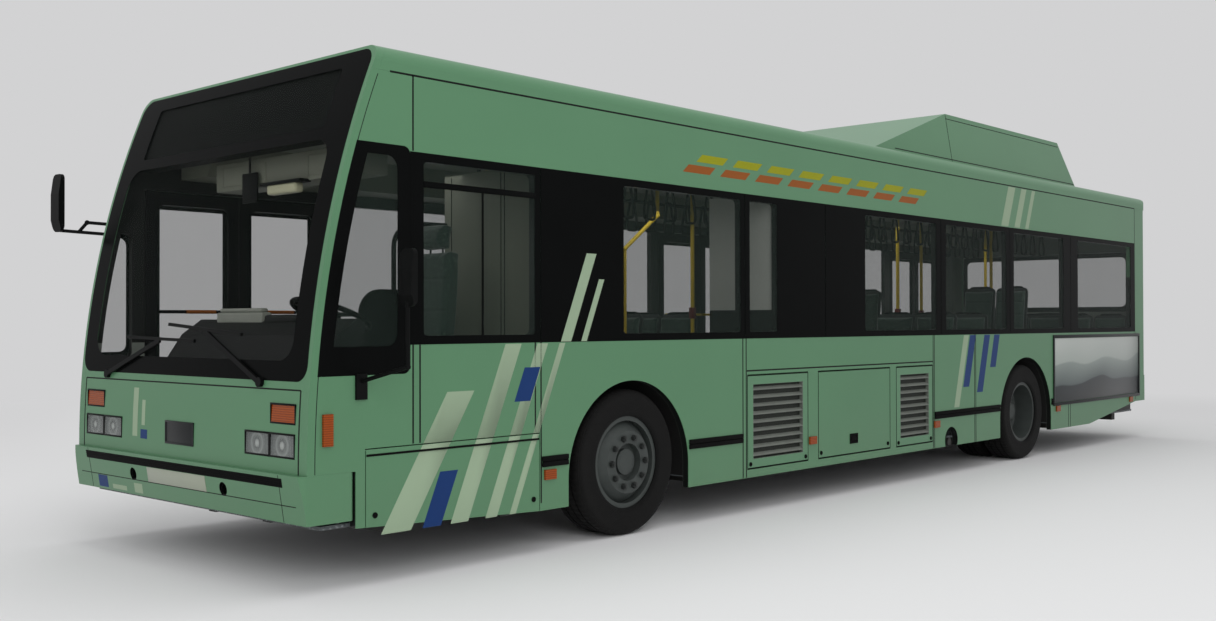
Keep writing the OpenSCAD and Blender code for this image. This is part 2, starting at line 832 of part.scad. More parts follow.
module passenger_seats() {
    seat_in_y = aisle_half_w - 155;
    seat_out_y = inner_half_w - 20;
    box_top_z = arch_z + box_outer_r + seam;
    color("darkolivegreen") {
        for (p = seat_pairs)
            along_y(p[1] > 0 ? seat_in_y : -seat_out_y, p[1] > 0 ? seat_out_y : -seat_in_y)
                seat_profile(p[0], p[2] + seam, seat_top_z, seat_back_z);
        for (b = box_seats)
            along_y(b[1] > 0 ? aisle_half_w : -seat_out_y, b[1] > 0 ? seat_out_y : -aisle_half_w)
                seat_profile(b[0] - 240, box_top_z, box_top_z + 100, box_top_z + 700);
        along_y(-400, seat_out_y)
            seat_profile(rear_seam_s - 500, floor_z + seam, seat_top_z, seat_back_z);
    }
}

// Grab poles: place behind the front bumper, side
pole_places = [
    [front_axle_s + 185, right],
    [front_axle_s + 485, left], [front_axle_s + 1185, right],
    [front_axle_s + 2515, left], [front_axle_s + 2640, right],
    [rear_axle_s - 880, left], [rear_axle_s - 1060, right],
    [rear_axle_s + 1240, left], [rear_axle_s + 800, right],
    [body_l - 1000, right]];
pole_y = aisle_half_w - 180;
// Wall of the round elbow fittings on bent tubes
elbow_wall = 5;

// Cranked pole on the right: upright from the floor, then slanting back to an upright at the ceiling
module cranked_pole() {
    low = [x_at(front_axle_s + 1725), -pole_y, 2005];
    high = low + [-430, 0, 310];
    foot = [low[0], low[1], floor_z + seam];
    rod(foot, low, pole_r);
    translate(low) sphere(r = pole_r + elbow_wall);
    rod(low, high, pole_r);
    translate(high) sphere(r = pole_r + elbow_wall);
    rod(high, [high[0], high[1], ceiling_z - seam], pole_r);
}

module handrails() {
    color("gold") {
        for (p = pole_places) translate([x_at(p[0]), p[1] * pole_y, floor_z + seam])
            cylinder(r = pole_r, h = ceiling_z - floor_z - 2 * seam);
        union() cranked_pole();
    }
}

module headlamps() {
    color("white") mirrored_pair()
        for (p = headlamp_places) front_lamp(p, 0, lamp_depth);
}

// Side marker lamps: front edges behind the front bumper
marker_places = [front_axle_s - 801, engine_bay_s + 807, engine_bay_s + 2824, rear_axle_s + 730,
    body_l - 590];
marker_l = 95;
marker_h = 60;
marker_z = 468;
marker_t = 14;

module amber_lamps() {
    color("darkorange") {
        mirrored_pair() front_lamp(front_indicator_place, 0, lamp_depth);
        mirrored_pair() {
            block(130, 190, half_w + seam, half_w + marker_t, 755, 920);
        }
        for (s = marker_places)
            block(s, s + marker_l, half_w + seam, half_w + marker_t,
                marker_z - marker_h / 2, marker_z + marker_h / 2);
    }
}

module tail_lamps() {
    color("darkred") mirrored_pair() for (p = tail_lamp_places)
        translate([x_at(body_l - rear_wall_setback) - seam, tail_lamp_y, p[0]])
            rotate([0, -90, 0]) cylinder(r = p[1], h = 15);
}

// Wipers: pivot y, arm's tip y, arm's tip z
wiper_places = [
    [-half_w + 375, -half_w + 1025, 1295],
    [half_w - 445, half_w - 1075, 1355]];
wiper_pivot_z = 1075;
// Angle between arm and blade, which lets both blades park level
wiper_blade_turn = 20;

module wipers() {
    color("black") for (w = wiper_places) union() {
        intersection() {
            nose_layer(-22, -8, half_w);
            along_x(x_at(300), x_at(-100)) {
                span = norm([w[1] - w[0], w[2] - wiper_pivot_z]);
                lean = atan2(w[2] - wiper_pivot_z, w[1] - w[0]);
                translate([w[0], wiper_pivot_z]) rotate(lean) translate([-20, -14]) square([span, 28]);
                blade_lean = w[1] > w[0] ? lean - wiper_blade_turn : lean + wiper_blade_turn;
                translate([w[1], w[2]]) rotate(blade_lean) translate([-420, -9]) square([800, 18]);
            }
        }
        intersection() {
            nose_layer(-22, -seam, half_w);
            translate([x_at(300), w[0], wiper_pivot_z]) rotate([0, 90, 0]) cylinder(r = 26, h = 400);
        }
    }
}

// Mirror heads: side, place behind the front bumper, lower edge, height, width
right_mirror = [right, 2, 1990, 380, 120];
left_mirror = [left, 432, 1470, 300, 110];
mirror_depth = 40;
mirror_corner_r = 35;
mirror_foot_t = 14;
// Side view of a head, as parts of its depth and height: pointed towards the front at mid height
mirror_profile = [[0.5, 0], [0, 0.2], [0, 0.65], [0.45, 1], [1, 1], [1, 0.1], [0.85, 0]];

// Tapered housing of one mirror, its glass facing the tail
module mirror_head(m) {
    y0 = m[0] > 0 ? mirror_half_w - m[4] : -mirror_half_w;
    intersection() {
        along_y(y0, y0 + m[4])
            polygon([for (p = mirror_profile) [x_at(m[1] + p[0] * mirror_depth), m[2] + p[1] * m[3]]]);
        along_x(x_at(m[1] + mirror_depth), x_at(m[1]))
            round_rect(y0, y0 + m[4], m[2], m[2] + m[3], mirror_corner_r);
    }
}

// Right arm: a lower tube to the head and a shorter upper one that bends down on to it
module right_mirror_arm(foot_y) {
    foot_s = 375;
    lower_z = 1967;
    upper_z = 2034;
    foot = [x_at(foot_s), -foot_y - mirror_foot_t, lower_z];
    reach = [345, -266, 33];
    bend = foot + 0.6 * reach + [0, 0, upper_z - lower_z];
    rod(foot, foot + reach, mirror_arm_r);
    rod([foot[0], foot[1], upper_z], bend, mirror_arm_r);
    translate(bend) sphere(r = mirror_arm_r + elbow_wall);
    rod(bend, foot + 0.72 * reach, mirror_arm_r);
    block(foot_s - 25, foot_s + 25, -foot_y - mirror_foot_t, -foot_y, 1930, 2070);
}

// Left arm: out and back from a low foot, then up beside the window's rear post
module left_mirror_arm(foot_y) {
    elbow = [x_at(450), mirror_half_w - 55, 1160];
    rod([x_at(368), foot_y + mirror_foot_t / 2, 1080], elbow, mirror_arm_r);
    translate(elbow) sphere(r = mirror_arm_r + elbow_wall);
    rod(elbow, elbow + [0, 0, 340], mirror_arm_r);
    block(333, 403, foot_y, foot_y + mirror_foot_t, 985, 1120);
}

module mirrors() {
    foot_y = half_w + seam;
    color("black") {
        union() {
            mirror_head(right_mirror);
            right_mirror_arm(foot_y);
        }
        union() {
            mirror_head(left_mirror);
            left_mirror_arm(foot_y);
        }
    }
}

eye_r = 42;
eye_half_h = 70;
beam_half_w = 45;
beam_top_z = 205;
beam_bottom_z = 135;

module front_axle() {
    color("dimgray") difference() {
        union() {
            along_x(x_at(front_axle_s) - beam_half_w, x_at(front_axle_s) + beam_half_w)
                for (side = both_sides) polygon([
                    [0, beam_bottom_z], [side * (kingpin_y - 357), beam_bottom_z],
                    [side * (kingpin_y - eye_r - 8), tyre_r - eye_half_h],
                    [side * (kingpin_y - 20), tyre_r - eye_half_h],
                    [side * (kingpin_y - 20), tyre_r + 40],
                    [side * (kingpin_y - 60), tyre_r + 40],
                    [side * (kingpin_y - 387), beam_top_z], [0, beam_top_z]]);
            mirrored_pair() translate([x_at(front_axle_s), kingpin_y, tyre_r - eye_half_h])
                cylinder(r = eye_r, h = 2 * eye_half_h);
        }
        mirrored_pair() translate([x_at(front_axle_s), kingpin_y, 0])
            cylinder(r = kingpin_r + bearing_gap, h = 2 * tyre_r);
    }
}

knuckle_plate_t = 26;
lug_h = 40;
hub_back = -60;

module knuckle() {
    lug_gap = 0.5;
    plate_y = eye_r + 4;
    hub_face = kingpin_offset + hub_back;
    translate([x_at(front_axle_s), kingpin_y, tyre_r]) union() {
        for (z = [eye_half_h + lug_gap, -eye_half_h - lug_gap - lug_h]) translate([0, 0, z]) {
            cylinder(r = eye_r, h = lug_h);
            translate([-eye_r, 0, 0]) cube([2 * eye_r, plate_y + 1, lug_h]);
        }
        translate([0, 0, -eye_half_h - lug_gap - lug_h])
            cylinder(r = kingpin_r, h = 2 * (eye_half_h + lug_gap + lug_h));
        translate([-55, plate_y, -eye_half_h - lug_gap - lug_h])
            cube([110, knuckle_plate_t, 2 * (eye_half_h + lug_gap + lug_h)]);
        rotate([-90, 0, 0]) translate([0, 0, plate_y]) cylinder(r = spindle_r, h = 170);
        rotate([-90, 0, 0]) translate([0, 0, plate_y]) cylinder(r = 70, h = hub_face - plate_y - 0.5);
    }
}

module knuckle_left() { color("dimgray") knuckle(); }

module knuckle_right() { color("dimgray") mirror([0, 1, 0]) knuckle(); }

riser_in_y = aisle_half_w + box_t + 25;
riser_t = 75;

module rear_axle() {
    color("dimgray") union() {
        along_x(x_at(rear_axle_s) - 70, x_at(rear_axle_s) + 70)
            translate([-riser_in_y - 20, beam_bottom_z])
                square([2 * riser_in_y + 40, beam_top_z - beam_bottom_z]);
        mirrored_pair() {
            translate([x_at(rear_axle_s), 0, 0]) along_x(-110, 110)
                round_rect(riser_in_y, riser_in_y + riser_t, beam_bottom_z, tyre_r + 130, 20);
            translate([x_at(rear_axle_s), riser_in_y + riser_t - 1, tyre_r]) rotate([-90, 0, 0])
                cylinder(r = axle_end_r, h = wheel_y - riser_in_y - riser_t - 60);
        }
        translate([x_at(rear_axle_s) + 60, rail_y - 150, beam_bottom_z + 60]) rotate([0, 90, 0])
            cylinder(r = 60, h = 200);
    }
}

spring_r = 75;
spring_y = aisle_half_w - 75;

module air_springs() {
    color("black") for (s = [front_axle_s, rear_axle_s]) mirrored_pair()
        translate([x_at(s), spring_y, beam_top_z + seam])
            cylinder(r = spring_r, h = deck_bottom_z - beam_top_z - 2 * seam);
}

// Turned piece whose axis is the wheel's, drawn as (radius, distance outwards)
module turned() {
    rotate([-90, 0, 0]) rotate_extrude($fn = 96) children();
}

rim_half_w = 105;
rim_wall = 16;
flange_h = 14;
flange_t = 10;

// Barrel and flanges of one rim
module rim_barrel() {
    translate([rim_r - rim_wall, -rim_half_w]) square([rim_wall, 2 * rim_half_w]);
    for (h = [-rim_half_w - flange_t + 1, rim_half_w - 1])
        translate([rim_r - rim_wall, h]) square([rim_wall + flange_h, flange_t]);
}

// Section of one tyre with its beads between the rim's flanges
module tyre_section() {
    shoulder_r = 46;
    groove_w = 12;
    groove_depth = 14;
    bead_clear = 0.3;
    difference() {
        round_rect(rim_r + bead_clear, tyre_r, -tyre_w / 2, tyre_w / 2, shoulder_r);
        for (h = [-tyre_w / 2 - 1, rim_half_w - 1 - bead_clear])
            translate([rim_r - 1, h])
                square([flange_h + 1 + bead_clear, tyre_w / 2 - rim_half_w + 2 + bead_clear]);
        for (h = [-60, 0, 60]) translate([tyre_r - groove_depth, h - groove_w / 2])
            square([groove_depth + 1, groove_w]);
    }
}

// Front wheel: the disc bulges out past the rim, and the hub's cap stands in the well in its middle
disc_face = 136;
disc_t = 16;
well_depth = 50;

module front_rim() {
    back = disc_face - disc_t;
    well = disc_face - well_depth;
    turned() union() {
        rim_barrel();
        polygon([
            [spindle_r + bearing_gap, hub_back], [100, hub_back], [100, well - disc_t],
            [134, well - disc_t], [134, back], [195, back], [rim_r - rim_wall + 1, back - 80],
            [rim_r - rim_wall + 1, back - 60], [203, disc_face], [122, disc_face], [122, well],
            [84, well], [84, back - 4], [60, back], [0, back + 1], [0, 104],
            [spindle_r + bearing_gap, 104]]);
    }
}

hand_holes = 8;
hand_hole_r = 19;
hand_hole_l = 30;

module rear_rim() {
    disc_z = -twin_gap / 2;
    hole_r = rim_r - 48;
    difference() {
        turned() union() {
            rim_barrel();
            translate([0, -twin_gap]) rim_barrel();
            polygon([
                [axle_end_r + bearing_gap, disc_z - 200], [120, disc_z - 200], [120, disc_z - 16],
                [200, disc_z - 16], [rim_r - rim_wall + 1, disc_z - 90],
                [rim_r - rim_wall + 1, disc_z - 72], [205, disc_z],
                [rim_r - rim_wall + 1, disc_z + 72], [rim_r - rim_wall + 1, disc_z + 90],
                [200, disc_z + 16], [120, disc_z + 16], [112, disc_z + 150], [70, disc_z + 172],
                [0, disc_z + 176], [0, disc_z + 150], [axle_end_r + bearing_gap, disc_z + 150]]);
        }
        for (i = [0:hand_holes - 1]) rotate([0, i * 360 / hand_holes, 0])
            translate([hole_r, -twin_gap, 0]) rotate([-90, 0, 0]) union() {
                for (t = [-hand_hole_l / 2, hand_hole_l / 2])
                    translate([0, t, 0]) cylinder(r = hand_hole_r, h = twin_gap);
                translate([-hand_hole_r, -hand_hole_l / 2, 0])
                    cube([2 * hand_hole_r, hand_hole_l, twin_gap]);
            }
    }
}

// Puts a wheel piece at its axle and side
module at_wheel(s, side) {
    translate([x_at(s), side * wheel_y, tyre_r]) mirror([0, side > 0 ? 0 : 1, 0]) children();
}

module rim_front_left() { color("silver") at_wheel(front_axle_s, left) front_rim(); }

module rim_front_right() { color("silver") at_wheel(front_axle_s, right) front_rim(); }

module rim_rear_left() { color("silver") at_wheel(rear_axle_s, left) rear_rim(); }

module rim_rear_right() { color("silver") at_wheel(rear_axle_s, right) rear_rim(); }

module single_tyre() { turned() tyre_section(); }

module twin_tyres() {
    turned() tyre_section();
    turned() translate([0, -twin_gap]) tyre_section();
}

module tyre_front_left() { color("black") at_wheel(front_axle_s, left) single_tyre(); }

module tyre_front_right() { color("black") at_wheel(front_axle_s, right) single_tyre(); }

module tyre_rear_left() { color("black") at_wheel(rear_axle_s, left) twin_tyres(); }

module tyre_rear_right() { color("black") at_wheel(rear_axle_s, right) twin_tyres(); }

hinge_pin_r = 4;
hinge_inset = 5;

// Hinge pin along a flap's upper edge, from jamb to jamb of its opening
module hinge_pin(s0, s1, z1) {
    translate([x_at(s1) + seam, half_w - hinge_inset, z1 - flap_gap - hinge_inset])
        rotate([0, 90, 0]) cylinder(r = hinge_pin_r, h = s1 - s0 - 2 * seam);
}

// Flap in the left wall's opening between s0 and s1, z0 and z1
module flap_panel(s0, s1, z0, z1) {
    along_y(half_w - flap_t, half_w)
        side_rect(s0 + flap_gap, s1 - flap_gap, z0 + flap_gap, z1 - flap_gap);
    hinge_pin(s0, s1, z1);
}

module front_flap() {
    color("darkseagreen") union() {
        along_y(half_w - flap_t, half_w) intersection() {
            wall_outline();
            side_rect(front_flap_start + flap_gap, front_flap_end - flap_gap, 0,
                front_flap_top_z - flap_gap);
        }
        hinge_pin(front_flap_start, front_flap_end, front_flap_top_z);
    }
}

// Louvred flap: a frame with tilted slats across its opening
module grille_flap(f) {
    s0 = engine_bay_s + f[1];
    s1 = s0 + f[2];
    g0 = s0 + grille_margin;
    g1 = s1 - grille_margin;
    z0 = engine_flap_bottom_z + grille_margin;
    z1 = engine_flap_top_z - grille_margin;
    slat_count = floor((z1 - z0) / slat_pitch);
    union() {
        difference() {
            flap_panel(s0, s1, engine_flap_bottom_z, engine_flap_top_z);
            along_y(half_w - 2 * flap_t, half_w + 1) side_rect(g0, g1, z0, z1);
        }
        for (i = [0:slat_count - 1])
            translate([x_at(g1) - 5, half_w - flap_t / 2, z0 + (i + 0.5) * (z1 - z0) / slat_count])
                rotate([-slat_tilt, 0, 0]) translate([0, -slat_depth / 2, -slat_t / 2])
                    cube([g1 - g0 + 10, slat_depth, slat_t]);
    }
}

module front_grille() { color("gray") grille_flap(engine_flaps[0]); }

module engine_door() {
    f = engine_flaps[1];
    color("darkseagreen") union() flap_panel(engine_bay_s + f[1], engine_bay_s + f[1] + f[2],
        engine_flap_bottom_z, engine_flap_top_z);
}

module rear_grille() { color("gray") grille_flap(engine_flaps[2]); }

// Places of a leaf: front edge, rear edge
function leaf_length(d) = (d[2] - 2 * (leaf_pivot_inset - leaf_edge) - leaf_meeting_gap) / 2;
function leaf_place(d, fore) = let (s0 = d[1] + leaf_pivot_inset - leaf_edge)
    fore ? [s0, s0 + leaf_length(d)]
         : [s0 + leaf_length(d) + leaf_meeting_gap, s0 + 2 * leaf_length(d) + leaf_meeting_gap];

leaf_y0 = -half_w + 5;
leaf_pin_r = 14;

// Leaf's frame with the pivot pin that stands on the sill and reaches up to the lintel
module door_leaf(d, fore) {
    p = leaf_place(d, fore);
    pivot_s = fore ? p[0] + leaf_edge : p[1] - leaf_edge;
    color("black") union() {
        along_y(leaf_y0, leaf_y0 + leaf_t) difference() {
            side_rect(p[0], p[1], leaf_bottom_z, leaf_top_z);
            side_round_rect(p[0] + leaf_frame_w, p[1] - leaf_frame_w, leaf_pane_bottom_z,
                leaf_pane_top_z, leaf_pane_r);
        }
        translate([x_at(pivot_s), leaf_y0 + leaf_t / 2, sill_z + seam])
            cylinder(r = leaf_pin_r, h = door_top_z - sill_z - 2 * seam);
    }
}

module door_pane(d, fore) {
    p = leaf_place(d, fore);
    middle = leaf_y0 + leaf_t / 2;
    color("black", 0.5) along_y(middle - glass_t / 2, middle + glass_t / 2)
        side_round_rect(p[0] + leaf_frame_w + seam, p[1] - leaf_frame_w - seam,
            leaf_pane_bottom_z + seam, leaf_pane_top_z - seam, leaf_pane_r);
}

underframe();
floor_plate();  // floor
wheel_boxes();
driver_platform();
left_wall();
right_wall();
roof();
front_mask();
rear_wall();
front_bumper();
rear_bumper();
windscreen();
windows();
destination_display();
roof_pod();
engine();
engine_cover();
cab_wall();
ceiling();
driver_seat();
dashboard();
steering_wheel();
passenger_seats();
handrails();
headlamps();
amber_lamps();
tail_lamps();
wipers();
mirrors();
front_axle();
rear_axle();
air_springs();
knuckle_left();
knuckle_right();
rim_front_left();
rim_front_right();
rim_rear_left();
rim_rear_right();
tyre_front_left();
tyre_front_right();
tyre_rear_left();
tyre_rear_right();
front_flap();
front_grille();
engine_door();
rear_grille();
door_leaf(doorways[0], true);  // front_door_fore
door_leaf(doorways[0], false);  // front_door_aft
door_leaf(doorways[1], true);  // mid_door_fore
door_leaf(doorways[1], false);  // mid_door_aft
door_leaf(doorways[2], true);  // rear_door_fore
door_leaf(doorways[2], false);  // rear_door_aft
door_pane(doorways[0], true);  // front_pane_fore
door_pane(doorways[0], false);  // front_pane_aft
door_pane(doorways[1], true);  // mid_pane_fore
door_pane(doorways[1], false);  // mid_pane_aft
door_pane(doorways[2], true);  // rear_pane_fore
door_pane(doorways[2], false);  // rear_pane_aft
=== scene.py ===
# Low-floor city bus with a raked front, a dark window band, double doors and a roof pod.
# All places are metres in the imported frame: +X forward, +Y the bus's left, +Z up, ground at 0.
# A place along the bus is often given as s, its distance behind the front bumper.
import math
import bpy
from mathutils import Matrix, Vector


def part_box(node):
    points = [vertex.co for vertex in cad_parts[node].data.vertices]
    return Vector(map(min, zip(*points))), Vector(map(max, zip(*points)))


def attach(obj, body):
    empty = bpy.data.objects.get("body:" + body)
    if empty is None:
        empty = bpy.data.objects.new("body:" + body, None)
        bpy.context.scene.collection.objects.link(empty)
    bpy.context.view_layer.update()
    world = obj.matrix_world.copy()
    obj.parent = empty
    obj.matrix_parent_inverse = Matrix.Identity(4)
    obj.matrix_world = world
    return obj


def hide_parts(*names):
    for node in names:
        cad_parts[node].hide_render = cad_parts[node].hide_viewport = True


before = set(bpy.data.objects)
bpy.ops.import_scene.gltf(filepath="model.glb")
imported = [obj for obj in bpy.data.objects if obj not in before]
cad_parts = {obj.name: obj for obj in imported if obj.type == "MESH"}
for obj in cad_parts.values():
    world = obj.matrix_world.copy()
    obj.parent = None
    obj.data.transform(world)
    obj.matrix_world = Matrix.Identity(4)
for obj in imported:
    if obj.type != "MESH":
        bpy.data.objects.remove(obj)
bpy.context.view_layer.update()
bpy.ops.object.select_all(action="DESELECT")


# Underframe, axles and engine block: welded and cast steel below the floor, dipped in black
# chassis paint, and never washed, so road dust lies on it.
def linear(code):
    """Linear colour of an sRGB hex code."""
    parts = [int(code[i:i + 2], 16) / 255 for i in (1, 3, 5)]
    return [p / 12.92 if p <= 0.04045 else ((p + 0.055) / 1.055) ** 2.4 for p in parts] + [1.0]


def link(tree, node, inputs):
    """Sets or links a node's inputs. A node stands for the output it uses, a hex code for its colour."""
    for name, value in inputs.items():
        if isinstance(value, bpy.types.Node):
            value = next(output for output in value.outputs if output.enabled)
        if isinstance(value, bpy.types.NodeSocket):
            tree.links.new(value, node.inputs[name])
        else:
            node.inputs[name].default_value = linear(value) if isinstance(value, str) else value


def add(tree, kind, inputs=None, **settings):
    """Adds a shader node with its settings, and sets or links its inputs."""
    node = tree.nodes.new("ShaderNode" + kind)
    for name, value in settings.items():
        setattr(node, name, value)
    link(tree, node, inputs or {})
    return node


def finish(name, sockets):
    """New material: itself, its nodes, its shader and its Object coordinates."""
    material = bpy.data.materials.new(name)
    material.use_nodes = True
    tree = material.node_tree
    shader = tree.nodes["Principled BSDF"]
    link(tree, shader, sockets)
    return material, tree, shader, add(tree, "TexCoord").outputs["Object"]


def surface(tree, shader, colour, height, strength, depth):
    """Gives a shader its colour, and a relief with a depth in metres."""
    bump = add(tree, "Bump", {"Height": height, "Strength": strength, "Distance": depth})
    link(tree, shader, {"Base Color": colour, "Normal": bump})


def mottle(name, light, dark, patch_mm, grain_mm, relief, rough, specular=0.5, metallic=0.0):
    """Material with soft patches between two colours and a fine grain in its relief and gloss."""
    material, tree, shader, place = finish(name, {"Specular IOR Level": specular, "Metallic": metallic})
    patches = add(tree, "TexNoise", {"Vector": place, "Scale": 1000 / patch_mm, "Detail": 4.0})
    tone = add(tree, "Mix", {0: patches, 6: light, 7: dark}, data_type="RGBA")
    grain = add(tree, "TexNoise", {"Vector": place, "Scale": 1000 / grain_mm, "Detail": 2.0})
    gloss = add(tree, "MapRange", {0: grain, 3: rough - 0.05, 4: rough + 0.08})
    surface(tree, shader, tone, grain, relief, grain_mm / 4000)
    link(tree, shader, {"Roughness": gloss})
    return material


def dress(material, *names):
    """Gives CAD nodes their finish."""
    for name in names:
        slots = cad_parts[name].data.materials
        slots.clear()
        slots.append(material)


# Chassis paint: flat black with dull brown dust in patches a hand wide
chassis_paint = mottle("chassis_paint", "#141516", "#2b2925", 160, 8, 0.25, 0.62)
dress(chassis_paint, "underframe", "front_axle", "rear_axle", "knuckle_left", "knuckle_right", "engine")

# Air springs: moulded rubber bellows, matt black, with rolled folds 28 mm apart
WAVE = 1 / 3.2  # metres between the crests of a wave texture at scale 1
bellows, tree, shader, place = finish("bellows_rubber", {"Roughness": 0.75})
folds = add(tree, "TexWave", {"Vector": place, "Scale": WAVE / 0.028}, bands_direction="Z")
surface(tree, shader, "#131313", folds.outputs["Fac"], 0.8, 0.01)
dress(bellows, "air_springs")


# Wheels: pressed steel discs in dark grey paint, with ten nuts on each disc. The front discs
# bulge outwards round the hub's well, and the twin rear ones are deep dishes.
def fit(piece, material, body="shell"):
    """Gives a new piece its slot and finish, and lets it ride on a body."""
    piece.data.materials.clear()
    piece.data.materials.append(material)
    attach(piece, body)


def pick(piece, kind, test):
    """Selects the faces, edges or vertices that pass a test, and stays in edit mode."""
    bpy.context.view_layer.objects.active = piece
    bpy.ops.object.mode_set(mode="EDIT")
    bpy.ops.mesh.select_mode(type=kind)
    bpy.ops.mesh.select_all(action="DESELECT")
    bpy.ops.object.mode_set(mode="OBJECT")
    for part in piece.data.polygons if kind == "FACE" else piece.data.edges:
        part.select = bool(test(part))
    bpy.ops.object.mode_set(mode="EDIT")


def focus(piece):
    """Makes a piece the active one and the only one selected."""
    bpy.ops.object.select_all(action="DESELECT")
    bpy.context.view_layer.objects.active = piece
    piece.select_set(True)


def done(piece, name, angle=0.6):
    """Ends edit mode, names the piece and smooths its rounded faces."""
    if bpy.context.mode != "OBJECT":
        bpy.ops.object.mode_set(mode="OBJECT")
    focus(piece)
    bpy.ops.object.shade_smooth_by_angle(angle=angle)
    piece.name = piece.data.name = name
    return piece


def twin(piece, name, place):
    """Copy with its own mesh, put in place by a matrix; a mirrored one keeps its faces outwards."""
    other = piece.copy()
    other.data = piece.data.copy()
    other.name = other.data.name = name
    bpy.context.collection.objects.link(other)
    other.data.transform(place)
    if place.determinant() < 0:
        other.data.flip_normals()
    return other


ACROSS = Matrix.Diagonal((1, -1, 1, 1))
ALONG_Y = (math.pi / 2, 0, 0)  # turn of a cylinder's axis
axle_x = {"front": 3.485, "rear": -2.56}
wheel_y = 1.107
hub_z = 0.475

# Wheel paint: satin dark grey, dulled by brake dust in patches
wheel_paint = mottle("wheel_paint", "#424745", "#333736", 90, 3, 0.08, 0.45, specular=0.3)
dress(wheel_paint, *("rim_%s_%s" % (a, b) for a in axle_x for b in ("left", "right")))

# Nuts: steel blackened by brake dust, with a dull sheen
nut_steel = mottle("dusty_nut_steel", "#3a3d3c", "#262827", 25, 2, 0.1, 0.45, metallic=0.4)
nut_circle = 0.162
bpy.ops.mesh.primitive_cylinder_add(vertices=6, radius=0.021, depth=0.022, rotation=ALONG_Y,
                                    location=(axle_x["front"] + nut_circle, wheel_y + 0.147, hub_z))
nuts = bpy.context.object
bpy.ops.object.transform_apply(location=True, rotation=True, scale=True)
pick(nuts, "FACE", lambda f: f.normal.y > 0.9)
for inset, rise in ((0.004, 0.004), (0.006, 0.005)):
    bpy.ops.mesh.inset(thickness=inset)
    bpy.ops.mesh.extrude_region_move(TRANSFORM_OT_translate={"value": (0, rise, 0)})
bpy.ops.mesh.select_all(action="SELECT")
bpy.ops.mesh.spin(steps=9, angle=1.8 * math.pi, dupli=True, axis=(0, 1, 0),
                  center=(axle_x["front"], 0, hub_z))
done(nuts, "wheel_nuts_front_left")
to_rear = Matrix.Translation((axle_x["rear"] - axle_x["front"], -0.28, 0))
nut_sets = {
    "wheel_front_left": nuts,
    "wheel_front_right": twin(nuts, "wheel_nuts_front_right", ACROSS),
    "wheel_rear_left": twin(nuts, "wheel_nuts_rear_left", to_rear),
    "wheel_rear_right": twin(nuts, "wheel_nuts_rear_right", ACROSS @ to_rear)}
for body, piece in nut_sets.items():
    fit(piece, nut_steel, body)


# Tyres: black moulded rubber with ribbed side walls and crosswise sipes between the three
# grooves. Dust greys the tread.
for axle, x in axle_x.items():
    tyre, tree, shader, place = finish("tyre_rubber_" + axle, {"Roughness": 0.82, "Specular IOR Level": 0.25})
    centred = add(tree, "VectorMath", {0: place, 1: (x, 0, hub_z)}, operation="SUBTRACT")
    at = add(tree, "SeparateXYZ", {0: centred}).outputs
    flat = add(tree, "CombineXYZ", {0: at["X"], 1: at["Z"]})
    radius = add(tree, "VectorMath", {0: flat}, operation="LENGTH")
    turn = add(tree, "Math", {0: at["Z"], 1: at["X"]}, operation="ARCTAN2")
    # Sipes 40 mm apart round the tread, rings 9 mm apart on the side walls
    sipe = add(tree, "Math", {0: turn, 1: 74.0}, operation="MULTIPLY")
    sipe = add(tree, "Math", {0: sipe}, operation="SINE")
    ring = add(tree, "Math", {0: radius, 1: 2 * math.pi / 0.009}, operation="MULTIPLY")
    ring = add(tree, "Math", {0: ring}, operation="SINE")
    tread = add(tree, "MapRange", {0: radius, 1: 0.462, 2: 0.47})
    relief = add(tree, "Mix", {0: tread, 2: ring, 3: sipe})
    dust = add(tree, "TexNoise", {"Vector": place, "Scale": 22.0, "Detail": 5.0})
    worn = add(tree, "MapRange", {0: radius, 1: 0.30, 2: 0.475, 3: 0.15, 4: 0.7})
    worn = add(tree, "Math", {0: worn, 1: dust}, operation="MULTIPLY")
    tone = add(tree, "Mix", {0: worn, 6: "#0a0a0a", 7: "#181716"}, data_type="RGBA")
    surface(tree, shader, tone, relief, 0.5, 0.003)
    dress(tyre, "tyre_%s_left" % axle, "tyre_%s_right" % axle)


# Floor: birch ply covered with slip-proof vinyl, also on the driver's platform. The vinyl is grey
# with pale and dark flecks of 12 mm, and dull.
vinyl, tree, shader, place = finish("flecked_vinyl", {"Roughness": 0.55})
cells = add(tree, "TexVoronoi", {"Vector": place, "Scale": 1 / 0.012})
flecks = add(tree, "ValToRGB", {0: cells.outputs["Color"]})
flecks.color_ramp.interpolation = "CONSTANT"
flecks.color_ramp.elements[0].color = linear("#4b5052")
flecks.color_ramp.elements[1].color = linear("#7a8082")
flecks.color_ramp.elements[1].position = 0.78
flecks.color_ramp.elements.new(0.9).color = linear("#2c2f31")
surface(tree, shader, flecks, cells.outputs["Distance"], 0.2, 0.002)
dress(vinyl, "floor", "driver_platform")


